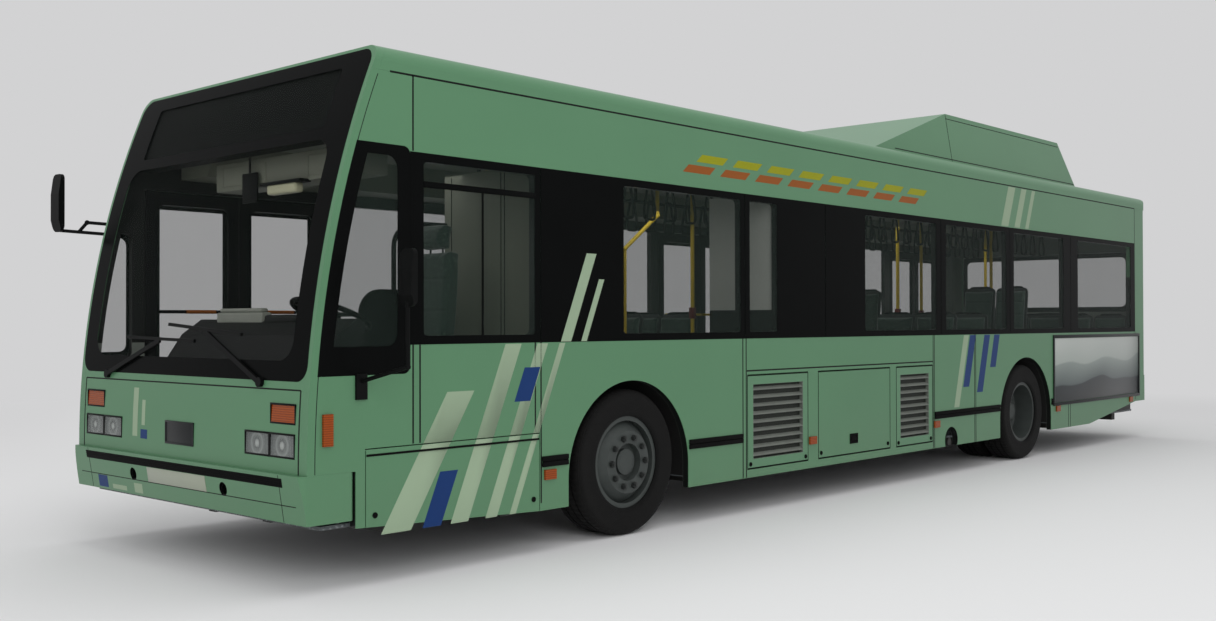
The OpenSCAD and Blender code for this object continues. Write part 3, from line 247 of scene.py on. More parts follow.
# Wheel boxes: rolled steel arches, covered with grey vinyl inside the bus and sprayed with rough
# black underseal towards the wheels, whose near-black there is also painted shade in the arches.
arch, tree, shader, place = finish("underseal_and_painted_shade_arch", {"Roughness": 0.7})
at = add(tree, "SeparateXYZ", {0: place}).outputs
flat = add(tree, "CombineXYZ", {0: at["X"], 1: at["Z"]})
# Near-black towards the wheels: real underseal, and painted shade in the arches
away = [add(tree, "VectorMath", {0: flat, 1: (x, 0.42, 0)}, operation="DISTANCE")
        for x in axle_x.values()]
near = add(tree, "Math", {0: away[0], 1: away[1]}, operation="MINIMUM")
underseal_and_shade_mask = add(tree, "Math", {0: near, 1: 0.622}, operation="LESS_THAN")
side = add(tree, "Math", {0: at["Y"]}, operation="ABSOLUTE")
outer = add(tree, "Math", {0: side, 1: 0.51}, operation="GREATER_THAN")
underseal_and_shade_mask = add(tree, "Math", {0: underseal_and_shade_mask, 1: outer}, operation="MULTIPLY")
spray = add(tree, "TexNoise", {"Vector": place, "Scale": 1 / 0.01, "Detail": 4.0})
underseal_and_shade_tone = add(tree, "Mix", {0: spray, 6: "#0d0d0e", 7: "#1d1c1b"}, data_type="RGBA")
tone = add(tree, "Mix", {0: underseal_and_shade_mask, 6: "#53585a", 7: underseal_and_shade_tone}, data_type="RGBA")
surface(tree, shader, tone, spray, 0.4, 0.003)
dress(arch, "wheel_boxes")


# Linings: ceiling ducts and cab wall are plywood faced with olive-grey laminate, with a
# leather-like grain pressed into it.
laminate = mottle("olive_laminate", "#75796a", "#696d60", 400, 2.5, 0.15, 0.55)
dress(laminate, "ceiling", "cab_wall")
# Engine cover: black kick covering below, paler laminate on the tower above it
kick_top_z = 1.48
cover, tree, shader, place = finish("engine_cover_facing", {"Roughness": 0.55})
at = add(tree, "SeparateXYZ", {0: place}).outputs
above = add(tree, "Math", {0: at["Z"], 1: kick_top_z}, operation="GREATER_THAN")
fleece = add(tree, "TexNoise", {"Vector": place, "Scale": 1 / 0.005, "Detail": 3.0})
facing = add(tree, "Mix", {0: fleece, 6: "#d6dad2", 7: "#c8ccc4"}, data_type="RGBA")
tone = add(tree, "Mix", {0: above, 6: "#101111", 7: facing}, data_type="RGBA")
surface(tree, shader, tone, fleece, 0.2, 0.001)
dress(cover, "engine_cover")


# Body panels: steel side sheets and glass-fibre front, roof and bumpers in one mint enamel.
# The film is slightly rippled from the spray gun, and the skirt carries road dust.
front_x = 6.0
skin_y = 1.275
nose_r = 5.797
nose_at = (0.164, 0.0, 0.621)
lining_grey = "#6f756e"


def enamel(name, wall=False, sockets=False, tail=False):
    """Mint enamel outside, with lining or near-black painted shade inside the walls and painted shade in the
    towing sockets.
    """
    material, tree, shader, place = finish(name, {"Roughness": 0.34, "IOR": 1.5, "Coat Weight": 0.08,
                                                  "Coat Roughness": 0.15, "Specular IOR Level": 0.3})
    at = add(tree, "SeparateXYZ", {0: place}).outputs
    side = add(tree, "Math", {0: at["Y"]}, operation="ABSOLUTE")
    patches = add(tree, "TexNoise", {"Vector": place, "Scale": 1 / 0.9, "Detail": 3.0})
    tone = add(tree, "Mix", {0: patches, 6: "#568260", 7: "#517b5b"}, data_type="RGBA")
    splash = add(tree, "TexNoise", {"Vector": place, "Scale": 1 / 0.12, "Detail": 6.0})
    low = add(tree, "MapRange", {0: at["Z"], 1: 0.25, 2: 0.75, 3: 0.14, 4: 0.0})
    dirt = add(tree, "Math", {0: low, 1: splash}, operation="MULTIPLY")
    tone = add(tree, "Mix", {0: dirt, 6: tone, 7: "#6b6a5c"}, data_type="RGBA")
    if wall:
        skin = add(tree, "Math", {0: side, 1: skin_y - 0.0045}, operation="GREATER_THAN")
        flat = add(tree, "CombineXYZ", {0: at["X"], 1: at["Z"]})
        reach = add(tree, "VectorMath", {0: flat, 1: (nose_at[0], nose_at[2], 0)}, operation="DISTANCE")
        nose = add(tree, "Math", {0: reach, 1: nose_r - 0.007}, operation="GREATER_THAN")
        skin = add(tree, "Math", {0: skin, 1: nose}, operation="MAXIMUM")
        lined = add(tree, "Math", {0: side, 1: 1.226}, operation="LESS_THAN")
        below = add(tree, "Math", {0: at["Z"], 1: 1.26}, operation="LESS_THAN")
        lined = add(tree, "Math", {0: lined, 1: below}, operation="MULTIPLY")
        # Inner faces: lining grey below the waist; elsewhere near-black, painted shade seen through the glass
        inner = add(tree, "Mix", {0: lined, 6: "#161817", 7: lining_grey}, data_type="RGBA")
        tone = add(tree, "Mix", {0: skin, 6: inner, 7: tone}, data_type="RGBA")
    if tail:
        between = add(tree, "Math", {0: side, 1: 1.2275}, operation="LESS_THAN")
        ahead = add(tree, "Math", {0: at["X"], 1: -5.9325}, operation="GREATER_THAN")
        inner = add(tree, "Math", {0: between, 1: ahead}, operation="MULTIPLY")
        tone = add(tree, "Mix", {0: inner, 6: tone, 7: lining_grey}, data_type="RGBA")
    if sockets:
        # Towing sockets: near-black in their bores, painted shade in the holes
        spot = add(tree, "CombineXYZ", {0: side, 1: at["Z"]})
        away = add(tree, "VectorMath", {0: spot, 1: (0.51, 0.485, 0)}, operation="DISTANCE")
        socket_shade_mask = add(tree, "Math", {0: away, 1: 0.0384}, operation="LESS_THAN")
        tone = add(tree, "Mix", {0: socket_shade_mask, 6: tone, 7: "#080909"}, data_type="RGBA")
    # Ripple of the spray gun, drawn at 14 mm so that it shows
    ripple = add(tree, "TexNoise", {"Vector": place, "Scale": 1 / 0.014})
    surface(tree, shader, tone, ripple, 0.04, 0.004)
    return material


panel_enamel = enamel("mint_enamel")
dress(panel_enamel, "roof", "front_mask", "rear_bumper", "front_flap", "engine_door", "roof_pod")
dress(enamel("mint_enamel_tail", tail=True), "rear_wall")
dress(enamel("mint_enamel_side", wall=True), "left_wall", "right_wall")
dress(enamel("mint_enamel_bumper", sockets=True), "front_bumper")


# Panel joints: 11 mm gaps between sheets, filled with dark sealant that stands a hair proud.
# Narrower ones run along the roof, beside the mask and up the corner pillars.
def boxes(name, places, edge=0.0, steps=2):
    """One piece made of boxes, each given by two corners, with its edges bevelled."""
    bpy.ops.object.select_all(action="DESELECT")
    for low, high in places:
        middle = [(a + b) / 2 for a, b in zip(low, high)]
        size = [abs(b - a) for a, b in zip(low, high)]
        bpy.ops.mesh.primitive_cube_add(size=1, location=middle, scale=size)
        if bpy.context.mode == "OBJECT":
            piece = bpy.context.object
            bpy.ops.object.transform_apply(location=True, rotation=True, scale=True)
            bpy.ops.object.mode_set(mode="EDIT")
    if edge:
        bpy.ops.mesh.select_all(action="SELECT")
        bpy.ops.mesh.bevel(offset=edge, segments=steps, affect="EDGES")
    return done(piece, name)


def on_side(s0, s1, z0, z1, y0, y1):
    """Two corners of a box on the bus's side, from its distances behind the front bumper."""
    return (front_x - s1, y0, z0), (front_x - s0, y1, z1)


def on_skin(s0, s1, z0, z1, proud, base=0.0002):
    """Two corners of a box on the left skin, from base to proud off it."""
    return on_side(s0, s1, z0, z1, skin_y + base, skin_y + proud)


def nose_sheet(name, y0, y1, z0, z1, out0, out1, steps=48):
    """Solid sheet that follows the raked front between two heights, from out0 to out1 off its skin."""
    a0, a1 = (math.asin((z - nose_at[2]) / nose_r) for z in (z0, z1))
    bpy.ops.object.select_all(action="DESELECT")
    bpy.ops.mesh.primitive_plane_add(size=1, location=(nose_r + (out0 + out1) / 2, (y0 + y1) / 2, 0))
    piece = bpy.context.object
    piece.scale = (abs(out1 - out0), abs(y1 - y0), 1)
    bpy.ops.object.transform_apply(location=True, rotation=True, scale=True)
    piece.data.transform(Matrix.Translation(nose_at) @ Matrix.Rotation(-a0, 4, "Y"))
    bpy.ops.object.mode_set(mode="EDIT")
    bpy.ops.mesh.select_all(action="SELECT")
    bpy.ops.mesh.spin(steps=steps, angle=a1 - a0, center=nose_at, axis=(0, 1, 0))
    bpy.ops.mesh.select_all(action="SELECT")
    bpy.ops.mesh.remove_doubles(threshold=0.00001)
    bpy.ops.mesh.normals_make_consistent(inside=False)
    return done(piece, name)


# Sealant: dull greenish black, which draws each joint as a thin dark line
sealant = mottle("joint_sealant", "#0a0c0b", "#0d100e", 60, 3, 0.1, 0.6, specular=0.2)
half_joint = 0.0055
foot_z = 0.256
waist_z = 1.267
gutter_z = 2.736
roof_z = 2.8795
# Upright joints: place behind the bumper, lower end, upper end
left_joints = [(s, 0.73, waist_z) for s in (0.716, 0.764, 1.642)]
left_joints += [(s, foot_z, waist_z) for s in (3.735, 3.7755, 6.6005, 6.623, 7.412, 7.437)]
left_joints += [(1.69, 0.3, waist_z), (9.62, foot_z, 0.5), (9.672, foot_z, 0.5), (0.716, 2.325, gutter_z)]
right_joints = [(s, foot_z, waist_z) for s in (1.9, 3.13, 5.71, 7.15, 7.945, 9.178, 10.19)]
strips = [on_skin(3.783, 6.593, 1.027, 1.038, 0.0004, -0.002)]
for uprights, y0, y1 in ((left_joints, skin_y - 0.002, skin_y + 0.0004),
                         (right_joints, -skin_y - 0.0004, -skin_y + 0.002)):
    uprights.append((11.6175, 0.46, gutter_z))
    strips += [on_side(s - half_joint, s + half_joint, z0, z1, y0, y1) for s, z0, z1 in uprights]
    strips.append(on_side(0.56, 11.618, gutter_z - half_joint, gutter_z + half_joint, y0, y1))
strips.append(((5.943, -1.2, 1.038), (5.9464, 1.2, 1.046)))
strips += [((x0, y - 0.004, roof_z), (x1, y + 0.004, roof_z + 0.0011)) for y in (-0.7, 0.7)
           for x0, x1 in ((0.16, 5.25), (-5.85, -4.36))]
strips += [((x - 0.004, -1.1, roof_z), (x + 0.004, 1.1, roof_z + 0.001)) for x in (4.55, 2.2)]
fit(boxes("panel_joints", strips), sealant)
for side, y in (("left", 1.2), ("right", -1.2)):
    strip = nose_sheet("mask_joint_" + side, y - half_joint, y + half_joint, 0.612, 1.042, -0.002, 0.0006, 12)
    fit(strip, sealant)
    edge = math.copysign(skin_y, y)
    strip = nose_sheet("pillar_joint_" + side, edge - 0.0004, edge + 0.0004, 0.615, 2.73, -0.05, -0.0455)
    fit(strip, sealant)


# Window glass: toughened panes of 8 mm, bonded flush into the body, lightly tinted grey-green.
# Dust and wiping leave faint haze in broad patches.
def glass(name, tint, alpha):
    """Clear glass with an uneven gloss."""
    material, tree, shader, place = finish(name, {"Base Color": tint, "Alpha": alpha, "IOR": 1.52,
                                                  "Specular IOR Level": 0.04})
    haze = add(tree, "TexNoise", {"Vector": place, "Scale": 1 / 0.35, "Detail": 5.0})
    link(tree, shader, {"Roughness": add(tree, "MapRange", {0: haze, 3: 0.02, 4: 0.09})})
    return material


leaves = [(door, end) for door in ("front", "mid", "rear") for end in ("fore", "aft")]
dress(glass("tinted_glass", "#2a332f", 0.26), "windows", *("%s_pane_%s" % leaf for leaf in leaves))
dress(glass("windscreen_glass", "#1c221f", 0.1), "windscreen")


# Black enamel borders: ceramic ink fired on the panes round the clear openings, which hides the
# bonding. It gives the unbroken gloss-black band along the sides.
def round_along(piece, axis, radius, steps=6):
    """Rounds the edges that run along one axis."""
    points = piece.data.vertices

    def runs_along(edge):
        a, b = (points[i].co for i in edge.vertices)
        return all(abs(a[k] - b[k]) < 1e-5 for k in range(3) if k != axis)
    pick(piece, "EDGE", runs_along)
    bpy.ops.mesh.bevel(offset=radius, segments=steps, affect="EDGES")
    bpy.ops.object.mode_set(mode="OBJECT")


def modify(piece, kind, **settings):
    """Adds a modifier with its settings to a piece and applies it."""
    focus(piece)
    bpy.ops.object.modifier_add(type=kind)
    for name, value in settings.items():
        setattr(piece.modifiers[-1], name, value)
    bpy.ops.object.modifier_apply(modifier=piece.modifiers[-1].name)


def carve(piece, tool, how="DIFFERENCE"):
    """Cuts a piece with a tool, which is used up."""
    modify(piece, "BOOLEAN", object=tool, operation=how)
    bpy.data.objects.remove(tool)


def cut(piece, places, axis, radius, steps=6, how="DIFFERENCE"):
    """Cuts a piece with boxes whose corners are rounded."""
    tool = boxes("tool", places)
    round_along(tool, axis, radius, steps)
    carve(piece, tool, how)


def cab_plate(name, y0, y1, end_s, z0, z1, depth, corner):
    """Plate with the cab windows' raked front edge, depth behind the front's skin."""
    plate = boxes(name, [on_side(-0.2, end_s, z0, z1, y0, y1)])
    round_along(plate, 1, corner)
    bpy.ops.object.select_all(action="DESELECT")
    bpy.ops.mesh.primitive_cylinder_add(vertices=900, radius=nose_r - depth, depth=0.4, rotation=ALONG_Y,
                                        location=(nose_at[0], (y0 + y1) / 2, nose_at[2]))
    carve(plate, bpy.context.object, "INTERSECT")
    return plate


# Fired ink: deep black and as smooth as the glass
ink = mottle("fired_black_ink", "#0a0b0b", "#0d0e0e", 300, 6, 0.01, 0.22, specular=0.02)
left_panes = [0.716, 1.69, 3.766, 4.84, 6.758, 8.195, 9.7, 11.62]
left_clear = [(0.79, 1.64), (2.44, 3.71), (3.822, 4.17), (5.44, 6.665), (6.852, 8.11), (8.28, 9.505),
              (9.893, 11.48)]
right_panes = [(1.923, 3.18), (3.18, 4.437), (4.437, 5.695), (7.165, 8.167), (8.167, 9.169), (9.169, 10.17)]
band = (1.2675, 2.3205)
opening = (1.315, 2.273)
ink_y = (skin_y + 0.0001, skin_y + 0.0007)
right_ink_y = (-ink_y[1], -ink_y[0])
through = (skin_y - 0.015, skin_y + 0.015)
right_through = (-through[1], -through[0])
left_ink = boxes("left_band_border", [on_side(a + 0.001, b - 0.007, *band, *ink_y)
                                      for a, b in zip(left_panes, left_panes[1:])])
cut(left_ink, [on_side(a, b, *opening, *through) for a, b in left_clear], 1, 0.014)
right_ink = boxes("right_band_border", [on_side(a + 0.003, b - 0.003, *band, *right_ink_y)
                                        for a, b in right_panes])
cut(right_ink, [on_side(a + 0.05, b - 0.05, *opening, *right_through) for a, b in right_panes], 1, 0.014)
driver_ink = cab_plate("driver_window_border", *ink_y, 0.697, 1.112, 2.344, 0.043, 0.045)
carve(driver_ink, cab_plate("tool", *through, 0.61, 1.262, 2.285, 0.125, 0.07))
quarter_ink = cab_plate("quarter_window_border", *right_ink_y, 0.413, 1.112, 2.023, 0.043, 0.045)
carve(quarter_ink, cab_plate("tool", *right_through, 0.35, 1.2, 1.95, 0.115, 0.05))
screen_ink = nose_sheet("windscreen_border", -1.26, 1.26, 1.05, 2.87, 0.0002, 0.0009, 64)
cut(screen_ink, [((5.0, -1.25, 1.085), (6.2, 1.245, 2.862))], 0, 0.09, 10, "INTERSECT")
cut(screen_ink, [((5.0, -1.1, 1.19), (6.2, 1.1, 2.37))], 0, 0.12, 10)
cut(screen_ink, [((5.0, -1.0, 2.44), (6.2, 1.0, 2.775))], 0, 0.02, 4)
rear_ink = boxes("rear_window_border", [((-5.9807, -1.0995, 1.5105), (-5.9801, 1.0995, 2.2395))])
round_along(rear_ink, 0, 0.04)
cut(rear_ink, [((-6.1, -1.04, 1.57), (-5.9, 1.04, 2.18))], 0, 0.06)
post_ink = boxes("driver_post_border", [on_side(0.696, 0.7165, *band, *ink_y)])
for piece in (left_ink, right_ink, driver_ink, quarter_ink, screen_ink, rear_ink, post_ink):
    done(piece, piece.name)
    fit(piece, ink)


# Destination display: a dark panel behind the upper windscreen, a fine matrix of unlit dots
# 20 mm apart, hardly paler than the panel.
display, tree, shader, place = finish("display_panel", {"Roughness": 0.5, "Specular IOR Level": 0.03})
dots = add(tree, "TexVoronoi", {"Vector": place, "Scale": 1 / 0.02, "Randomness": 0.0})
lit = add(tree, "MapRange", {0: dots.outputs["Distance"], 1: 0.2, 2: 0.3})
tone = add(tree, "Mix", {0: lit, 6: "#0c100e", 7: "#080a09"}, data_type="RGBA")
link(tree, shader, {"Base Color": tone})
dress(display, "destination_display")


# Livery: vinyl film, cut to shape and rolled on the panels. Pale and blue slanted bars run at
# the front and before the rear axle, and orange and yellow dashes along the cantrail.
def line_mesh(name, lines, closed, **settings):
    """Mesh of a curve made of straight lines between points, with the curve's settings."""
    shape = bpy.data.curves.new(name, "CURVE")
    for key, value in settings.items():
        setattr(shape, key, value)
    for points in lines:
        line = shape.splines.new("POLY")
        line.points.add(len(points) - 1)
        line.use_cyclic_u = closed
        for spot, point in zip(line.points, points):
            spot.co = (*point, 1)
    piece = bpy.data.objects.new(name, shape)
    bpy.context.collection.objects.link(piece)
    focus(piece)
    bpy.ops.object.convert(target="MESH")
    return bpy.context.object


def film(name, outlines, lift=0.0001):
    """Thin film on the left side, from closed outlines of (distance behind the bumper, height)."""
    lines = [[(front_x - s, z, 0) for s, z in outline] for outline in outlines]
    piece = line_mesh(name, lines, True, dimensions="2D", fill_mode="BOTH")
    piece.data.transform(Matrix.Translation((0, skin_y + lift, 0)) @ Matrix.Rotation(math.pi / 2, 4, "X"))
    piece.data.flip_normals()
    modify(piece, "SOLIDIFY", thickness=0.0003, offset=1.0)
    return done(piece, name)


def slanted(s, width, z0, z1, lean=0.42):
    """Outline of a bar that leans backwards as it rises."""
    shift = lean * (z1 - z0)
    return [(s, z0), (s + width, z0), (s + width + shift, z1), (s + shift, z1)]


# Film: even satin colours with a trace of the panel's unevenness
films = {name: mottle(name + "_film", light, dark, 300, 5, 0.02, 0.4, specular=0.15)
         for name, light, dark in (("pale", "#93a68c", "#8c9f86"), ("blue", "#16366b", "#133062"),
                                   ("orange", "#8c4f1e", "#85491b"), ("yellow", "#8f9116", "#888a14"))}
foot = 0.262
waist = 1.262
bars = {"pale": [slanted(0.5, 0.2, foot, 1.0, 0.62), slanted(0.98, 0.13, foot, waist),
                 slanted(1.24, 0.09, foot, waist), slanted(1.43, 0.05, foot, waist)],
        "blue": [slanted(0.78, 0.13, foot, 0.56), slanted(1.47, 0.13, 0.92, 1.12)]}
for colour, outlines in bars.items():
    upper = film("front_bars_" + colour, outlines, 0.0005 if colour == "blue" else 0.0001)
    lower = twin(upper, "flap_bars_" + colour, Matrix())
    carve(upper, boxes("tool", [on_side(0.397, 1.68, 0.0, 0.725, *through)]))
    carve(lower, boxes("tool", [on_side(0.404, 1.673, 0.0, 0.718, *through)]), "INTERSECT")
    fit(upper, films[colour])
    fit(lower, films[colour], "lid_front_flap")
side_films = {
    "pale": [slanted(7.0, 0.1, 0.6, waist, 0.3), slanted(8.0, 0.16, 2.33, 2.725),
             slanted(8.3, 0.12, 2.33, 2.725), slanted(8.55, 0.08, 2.33, 2.725)],
    "blue": [slanted(s, 0.12, z, waist, 0.3) for s, z in ((7.18, 0.78), (7.46, 0.72), (7.74, 0.95))],
    "orange": [slanted(3.05 + 0.42 * i, 0.3, 2.42, 2.475, 1.2) for i in range(8)],
    "yellow": [slanted(3.2 + 0.42 * i, 0.3, 2.5, 2.555, 1.2) for i in range(8)]}
for colour, outlines in side_films.items():
    fit(film("side_bars_" + colour, outlines), films[colour])
band_bars = [slanted(1.86, 0.09, 1.27, 1.82), slanted(2.04, 0.05, 1.27, 1.66)]
fit(film("band_bars_pale", band_bars, 0.0008), films["pale"])
front_films = [("pale", -0.56, -0.5, 0.71, 1.0), ("pale", -0.45, -0.41, 0.78, 0.93),
               ("blue", -0.46, -0.38, 0.7, 0.755)]
for i, (colour, *area) in enumerate(front_films):
    bar = nose_sheet("mask_bar_%d" % (i + 1), *area, 0.0002, 0.0007, 8)
    fit(bar, films[colour])


# Rub rails: black rubber profiles along the skirt, pressed into a rail, with a groove between
# two beads. The rubber is matt and nearly black.
rubber = mottle("black_rubber", "#070707", "#0f0f0f", 80, 3, 0.15, 0.78, specular=0.1)
left_rails = [(1.695, 1.92), (3.11, 3.73), (6.622, 7.948), (9.172, 9.215)]
right_rails = [(3.11, 5.7), (7.16, 7.948), (9.172, 10.18)]
rails = []
for side, places in ((1, left_rails), (-1, right_rails)):
    for a, b in places:
        for z0, z1, proud in ((0.515, 0.545, 0.012), (0.545, 0.55, 0.006), (0.55, 0.58, 0.012)):
            rails.append(on_side(a, b, z0, z1, side * (skin_y + 0.0002), side * (skin_y + proud)))
fit(boxes("rub_rails", rails, 0.003), rubber)


# Flap fittings: a rubber hinge strip on the front flap, quarter-turn locks in the flaps' lower
# corners, a paddle latch in the engine door, and rubber lips that close the gaps round the lids.
def discs(name, places, radius, height):
    """Round heads on the left skin with a raised rim and a slot's ridge, one at each (s, z)."""
    bpy.ops.object.select_all(action="DESELECT")
    for s, z in places:
        bpy.ops.mesh.primitive_cylinder_add(vertices=16, radius=radius, depth=height, rotation=ALONG_Y,
                                            location=(front_x - s, skin_y + 0.0002 + height / 2, z))
        if bpy.context.mode == "OBJECT":
            piece = bpy.context.object
            bpy.ops.object.transform_apply(location=True, rotation=True, scale=True)
            bpy.ops.object.mode_set(mode="EDIT")
    pick(piece, "FACE", lambda f: f.normal.y > 0.9)
    for inset, rise in ((0.25, -0.4), (0.4, 0.35)):
        bpy.ops.mesh.inset(thickness=radius * inset, use_individual=True)
        bpy.ops.mesh.extrude_region_shrink_fatten(TRANSFORM_OT_shrink_fatten={"value": height * rise})
    return done(piece, name)


def border(a0, a1, b0, b1, across, along):
    """Four rectangles that frame an area: one at each end of b, and two between them at the ends of a."""
    return [(a0, a1, b0, b0 + along), (a0, a1, b1 - along, b1),
            (a0, a0 + across, b0 + along, b1 - along), (a1 - across, a1, b0 + along, b1 - along)]


def framed(name, s0, s1, z0, z1, width, proud, edge):
    """Four bars of a frame on the left side."""
    return boxes(name, [on_skin(*bar, proud, 0.0005) for bar in border(s0, s1, z0, z1, width, width)], edge)


hinge_strip = boxes("front_flap_strip", [on_skin(0.405, 1.672, 0.682, 0.694, 0.003)], 0.0008)
fit(hinge_strip, rubber, "lid_front_flap")
locks = {"lid_front_flap": [(0.46, 0.37), (1.625, 0.33)], "lid_front_grille": [(3.825, 0.35), (4.545, 0.35)],
         "lid_engine_door": [(4.765, 0.36), (5.795, 0.36)], "lid_rear_grille": [(5.975, 0.35), (6.55, 0.35)]}
for body, places in locks.items():
    fit(discs(body + "_locks", places, 0.016, 0.005), rubber, body)
latch = [on_skin(*bar, 0.006) for bar in border(5.19, 5.31, 0.4, 0.48, 0.012, 0.012)]
latch += [on_skin(5.202, 5.298, 0.412, 0.468, 0.001), on_skin(5.21, 5.29, 0.425, 0.45, 0.005, 0.001)]
fit(boxes("engine_door_latch", latch, 0.001), rubber, "lid_engine_door")
for node in ("front_grille", "engine_door", "rear_grille"):
    low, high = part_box(node)
    lip = framed(node + "_lip", front_x - high[0], front_x - low[0], low[2], high[2], 0.006, 0.0012, 0.0002)
    fit(lip, rubber, "lid_" + node)

# Louvred flaps: enamelled frames round extruded aluminium slats in grey, streaked by dust
grille, tree, shader, place = finish("louvre_paint", {"Roughness": 0.42})
at = add(tree, "SeparateXYZ", {0: place}).outputs
fore, aft = (add(tree, "Math", {0: at["X"], 1: front_x - (s0 + s1) / 2, 2: (s1 - s0) / 2},
                 operation="COMPARE") for s0, s1 in ((3.86, 4.511), (6.012, 6.516)))
inside = add(tree, "Math", {0: fore, 1: aft}, operation="MAXIMUM")
upright = add(tree, "Math", {0: at["Z"], 1: 0.6585, 2: 0.2725}, operation="COMPARE")
inside = add(tree, "Math", {0: inside, 1: upright}, operation="MULTIPLY")
streak = add(tree, "TexNoise", {"Vector": place, "Scale": 14.0, "Detail": 5.0})
slat = add(tree, "Mix", {0: streak, 6: "#757a73", 7: "#5f635d"}, data_type="RGBA")
tone = add(tree, "Mix", {0: inside, 6: "#547e5e", 7: slat}, data_type="RGBA")
link(tree, shader, {"Base Color": tone})
dress(grille, "front_grille", "rear_grille")
# Radiator mesh behind the slats: dark woven wire, 5 mm squares
mesh, tree, shader, place = finish("radiator_mesh", {"Roughness": 0.6, "Specular IOR Level": 0.2})
wires = add(tree, "TexChecker", {"Vector": place, "Scale": 1 / 0.005,
                                 "Color1": "#343833", "Color2": "#1b1d1a"})
surface(tree, shader, wires, wires.outputs[1], 0.4, 0.002)
for body, s0, s1 in (("lid_front_grille", 3.85, 4.52), ("lid_rear_grille", 6.0, 6.528)):
    screen = boxes(body + "_mesh", [on_side(s0, s1, 0.38, 0.937, 1.2438, 1.2447)])
    fit(screen, mesh, body)


# Poster frame on the left rear quarter: anodised aluminium profile clipped over a printed sheet,
# here a plain pale-to-dark ground with soft rolling bands.
# Anodised profile: dark grey metal with a soft sheen
anodised = mottle("black_anodised_frame", "#1d1f20", "#26282a", 200, 2, 0.05, 0.4, metallic=0.7)
fit(framed("poster_frame", 9.22, 11.74, 0.5, 1.245, 0.032, 0.012, 0.003), anodised)
# Printed sheet: smooth coated paper, dark at its foot and pale at its top, a little shiny
print_sheet, tree, shader, place = finish("printed_sheet", {"Roughness": 0.3})
at = add(tree, "SeparateXYZ", {0: place}).outputs
swell = add(tree, "TexNoise", {"Vector": place, "Scale": 0.9, "Detail": 1.0})
level = add(tree, "Math", {0: swell, 1: 0.5, 2: at["Z"]}, operation="MULTIPLY_ADD")
ground_tones = add(tree, "ValToRGB", {0: add(tree, "MapRange", {0: level, 1: 0.75, 2: 1.5})})
ground_tones.color_ramp.elements[0].color = linear("#0d0f11")
ground_tones.color_ramp.elements[1].color = linear("#b4b8b4")
for position, code in ((0.35, "#23282c"), (0.37, "#545d5d"), (0.62, "#858e8a"), (0.64, "#a0a7a2")):
    ground_tones.color_ramp.elements.new(position).color = linear(code)
link(tree, shader, {"Base Color": ground_tones})
sheet = boxes("poster_sheet", [on_skin(9.255, 11.705, 0.535, 1.21, 0.004, 0.0005)], 0.001)
fit(sheet, print_sheet)


# Service port in the skirt: a round cut with a rubber edge and a steel pipe behind it, painted
# with the chassis.
def tube(name, routes, radius, bend=0.05, closed=False):
    """Bent tubes along corner points with rounded bends, as one mesh."""
    lines = []
    for route in routes:
        path = [Vector(p) for p in route]
        points = [path[0]]
        for before, corner, after in zip(path, path[1:], path[2:]):
            reach = min(bend, (before - corner).length / 2, (after - corner).length / 2)
            a = corner + (before - corner).normalized() * reach
            b = corner + (after - corner).normalized() * reach
            points += [a * (1 - t) ** 2 + corner * 2 * t * (1 - t) + b * t ** 2
                       for t in (0, 0.25, 0.5, 0.75, 1)]
        lines.append(points + [path[-1]])
    piece = line_mesh(name, lines, closed, dimensions="3D", bevel_depth=radius, bevel_resolution=3,
                      use_fill_caps=True)
    return done(piece, name, 0.9)


port_x, port_z, port_r = -0.94, 0.305, 0.116
turns = [math.radians(a) for a in range(-24, 205, 12)]
arc = [(port_x + port_r * math.cos(a), skin_y - 0.002, port_z + port_r * math.sin(a)) for a in turns]
fit(tube("service_port_edge", [arc], 0.006, 0.01), rubber)
pipe = [(port_x, 1.255, 0.29), (port_x, 1.1, 0.29), (-0.6, 0.95, 0.275), (-0.6, 0.6, 0.275)]
fit(tube("service_port_pipe", [pipe], 0.036, 0.08), chassis_paint)


# Front bumper: a ribbed rubber strip along the top, a blank number plate, dark joints and low
# film bars, all on the bumper's raked face.
def rake(piece):
    """Lays a piece that was made upright against the bumper's raked face."""
    for point in piece.data.vertices:
        point.co.x -= 0.1581 * (0.611 - point.co.z)
    return piece


ribs = [((5.99, -1.1, 0.543), (6.0008, 1.1, 0.591))]
ribs += [((6.0008, -1.1, z), (6.0022, 1.1, z + 0.006)) for z in (0.549, 0.56, 0.571, 0.582)]
fit(rake(boxes("bumper_strip", ribs, 0.001)), rubber)
# Plate enamel: pale grey-green, even and slightly shiny
plate_paint = mottle("plate_enamel", "#9aa08f", "#93998a", 90, 4, 0.03, 0.35)
plate = [((5.999, -0.33, 0.453), (6.002, 0.33, 0.541)), ((6.002, -0.325, 0.458), (6.0026, 0.325, 0.536))]
fit(rake(boxes("number_plate", plate, 0.0008)), plate_paint)
seams = [((5.998, -1.2, 0.448), (6.0004, 1.2, 0.453))]
seams += [((5.998, y - 0.0025, 0.36), (6.0004, y + 0.0025, 0.608)) for y in (-1.07, 1.07)]
fit(rake(boxes("bumper_joints", seams)), sealant)
low_films = {"blue": [(-0.98, -0.86, 0.445)], "pale": [(-0.8, -0.62, 0.4), (-0.52, -0.42, 0.43)]}
for colour, places in low_films.items():
    bars = boxes("bumper_bars_" + colour, [((5.9995, y0, 0.372), (6.0006, y1, z1)) for y0, y1, z1 in places])
    fit(rake(bars), films[colour])


# Front badge panel: a blank dark plate in a thin frame of the same anodised metal, riveted to the
# mask.
badge = [((5.957, -0.16, 0.69), (5.9625, 0.16, 0.824))]
badge += [((5.9625, y0, z0), (5.965, y1, z1))
          for y0, y1, z0, z1 in border(-0.16, 0.16, 0.69, 0.824, 0.01, 0.01)]
fit(boxes("badge_plate", badge, 0.001), anodised)
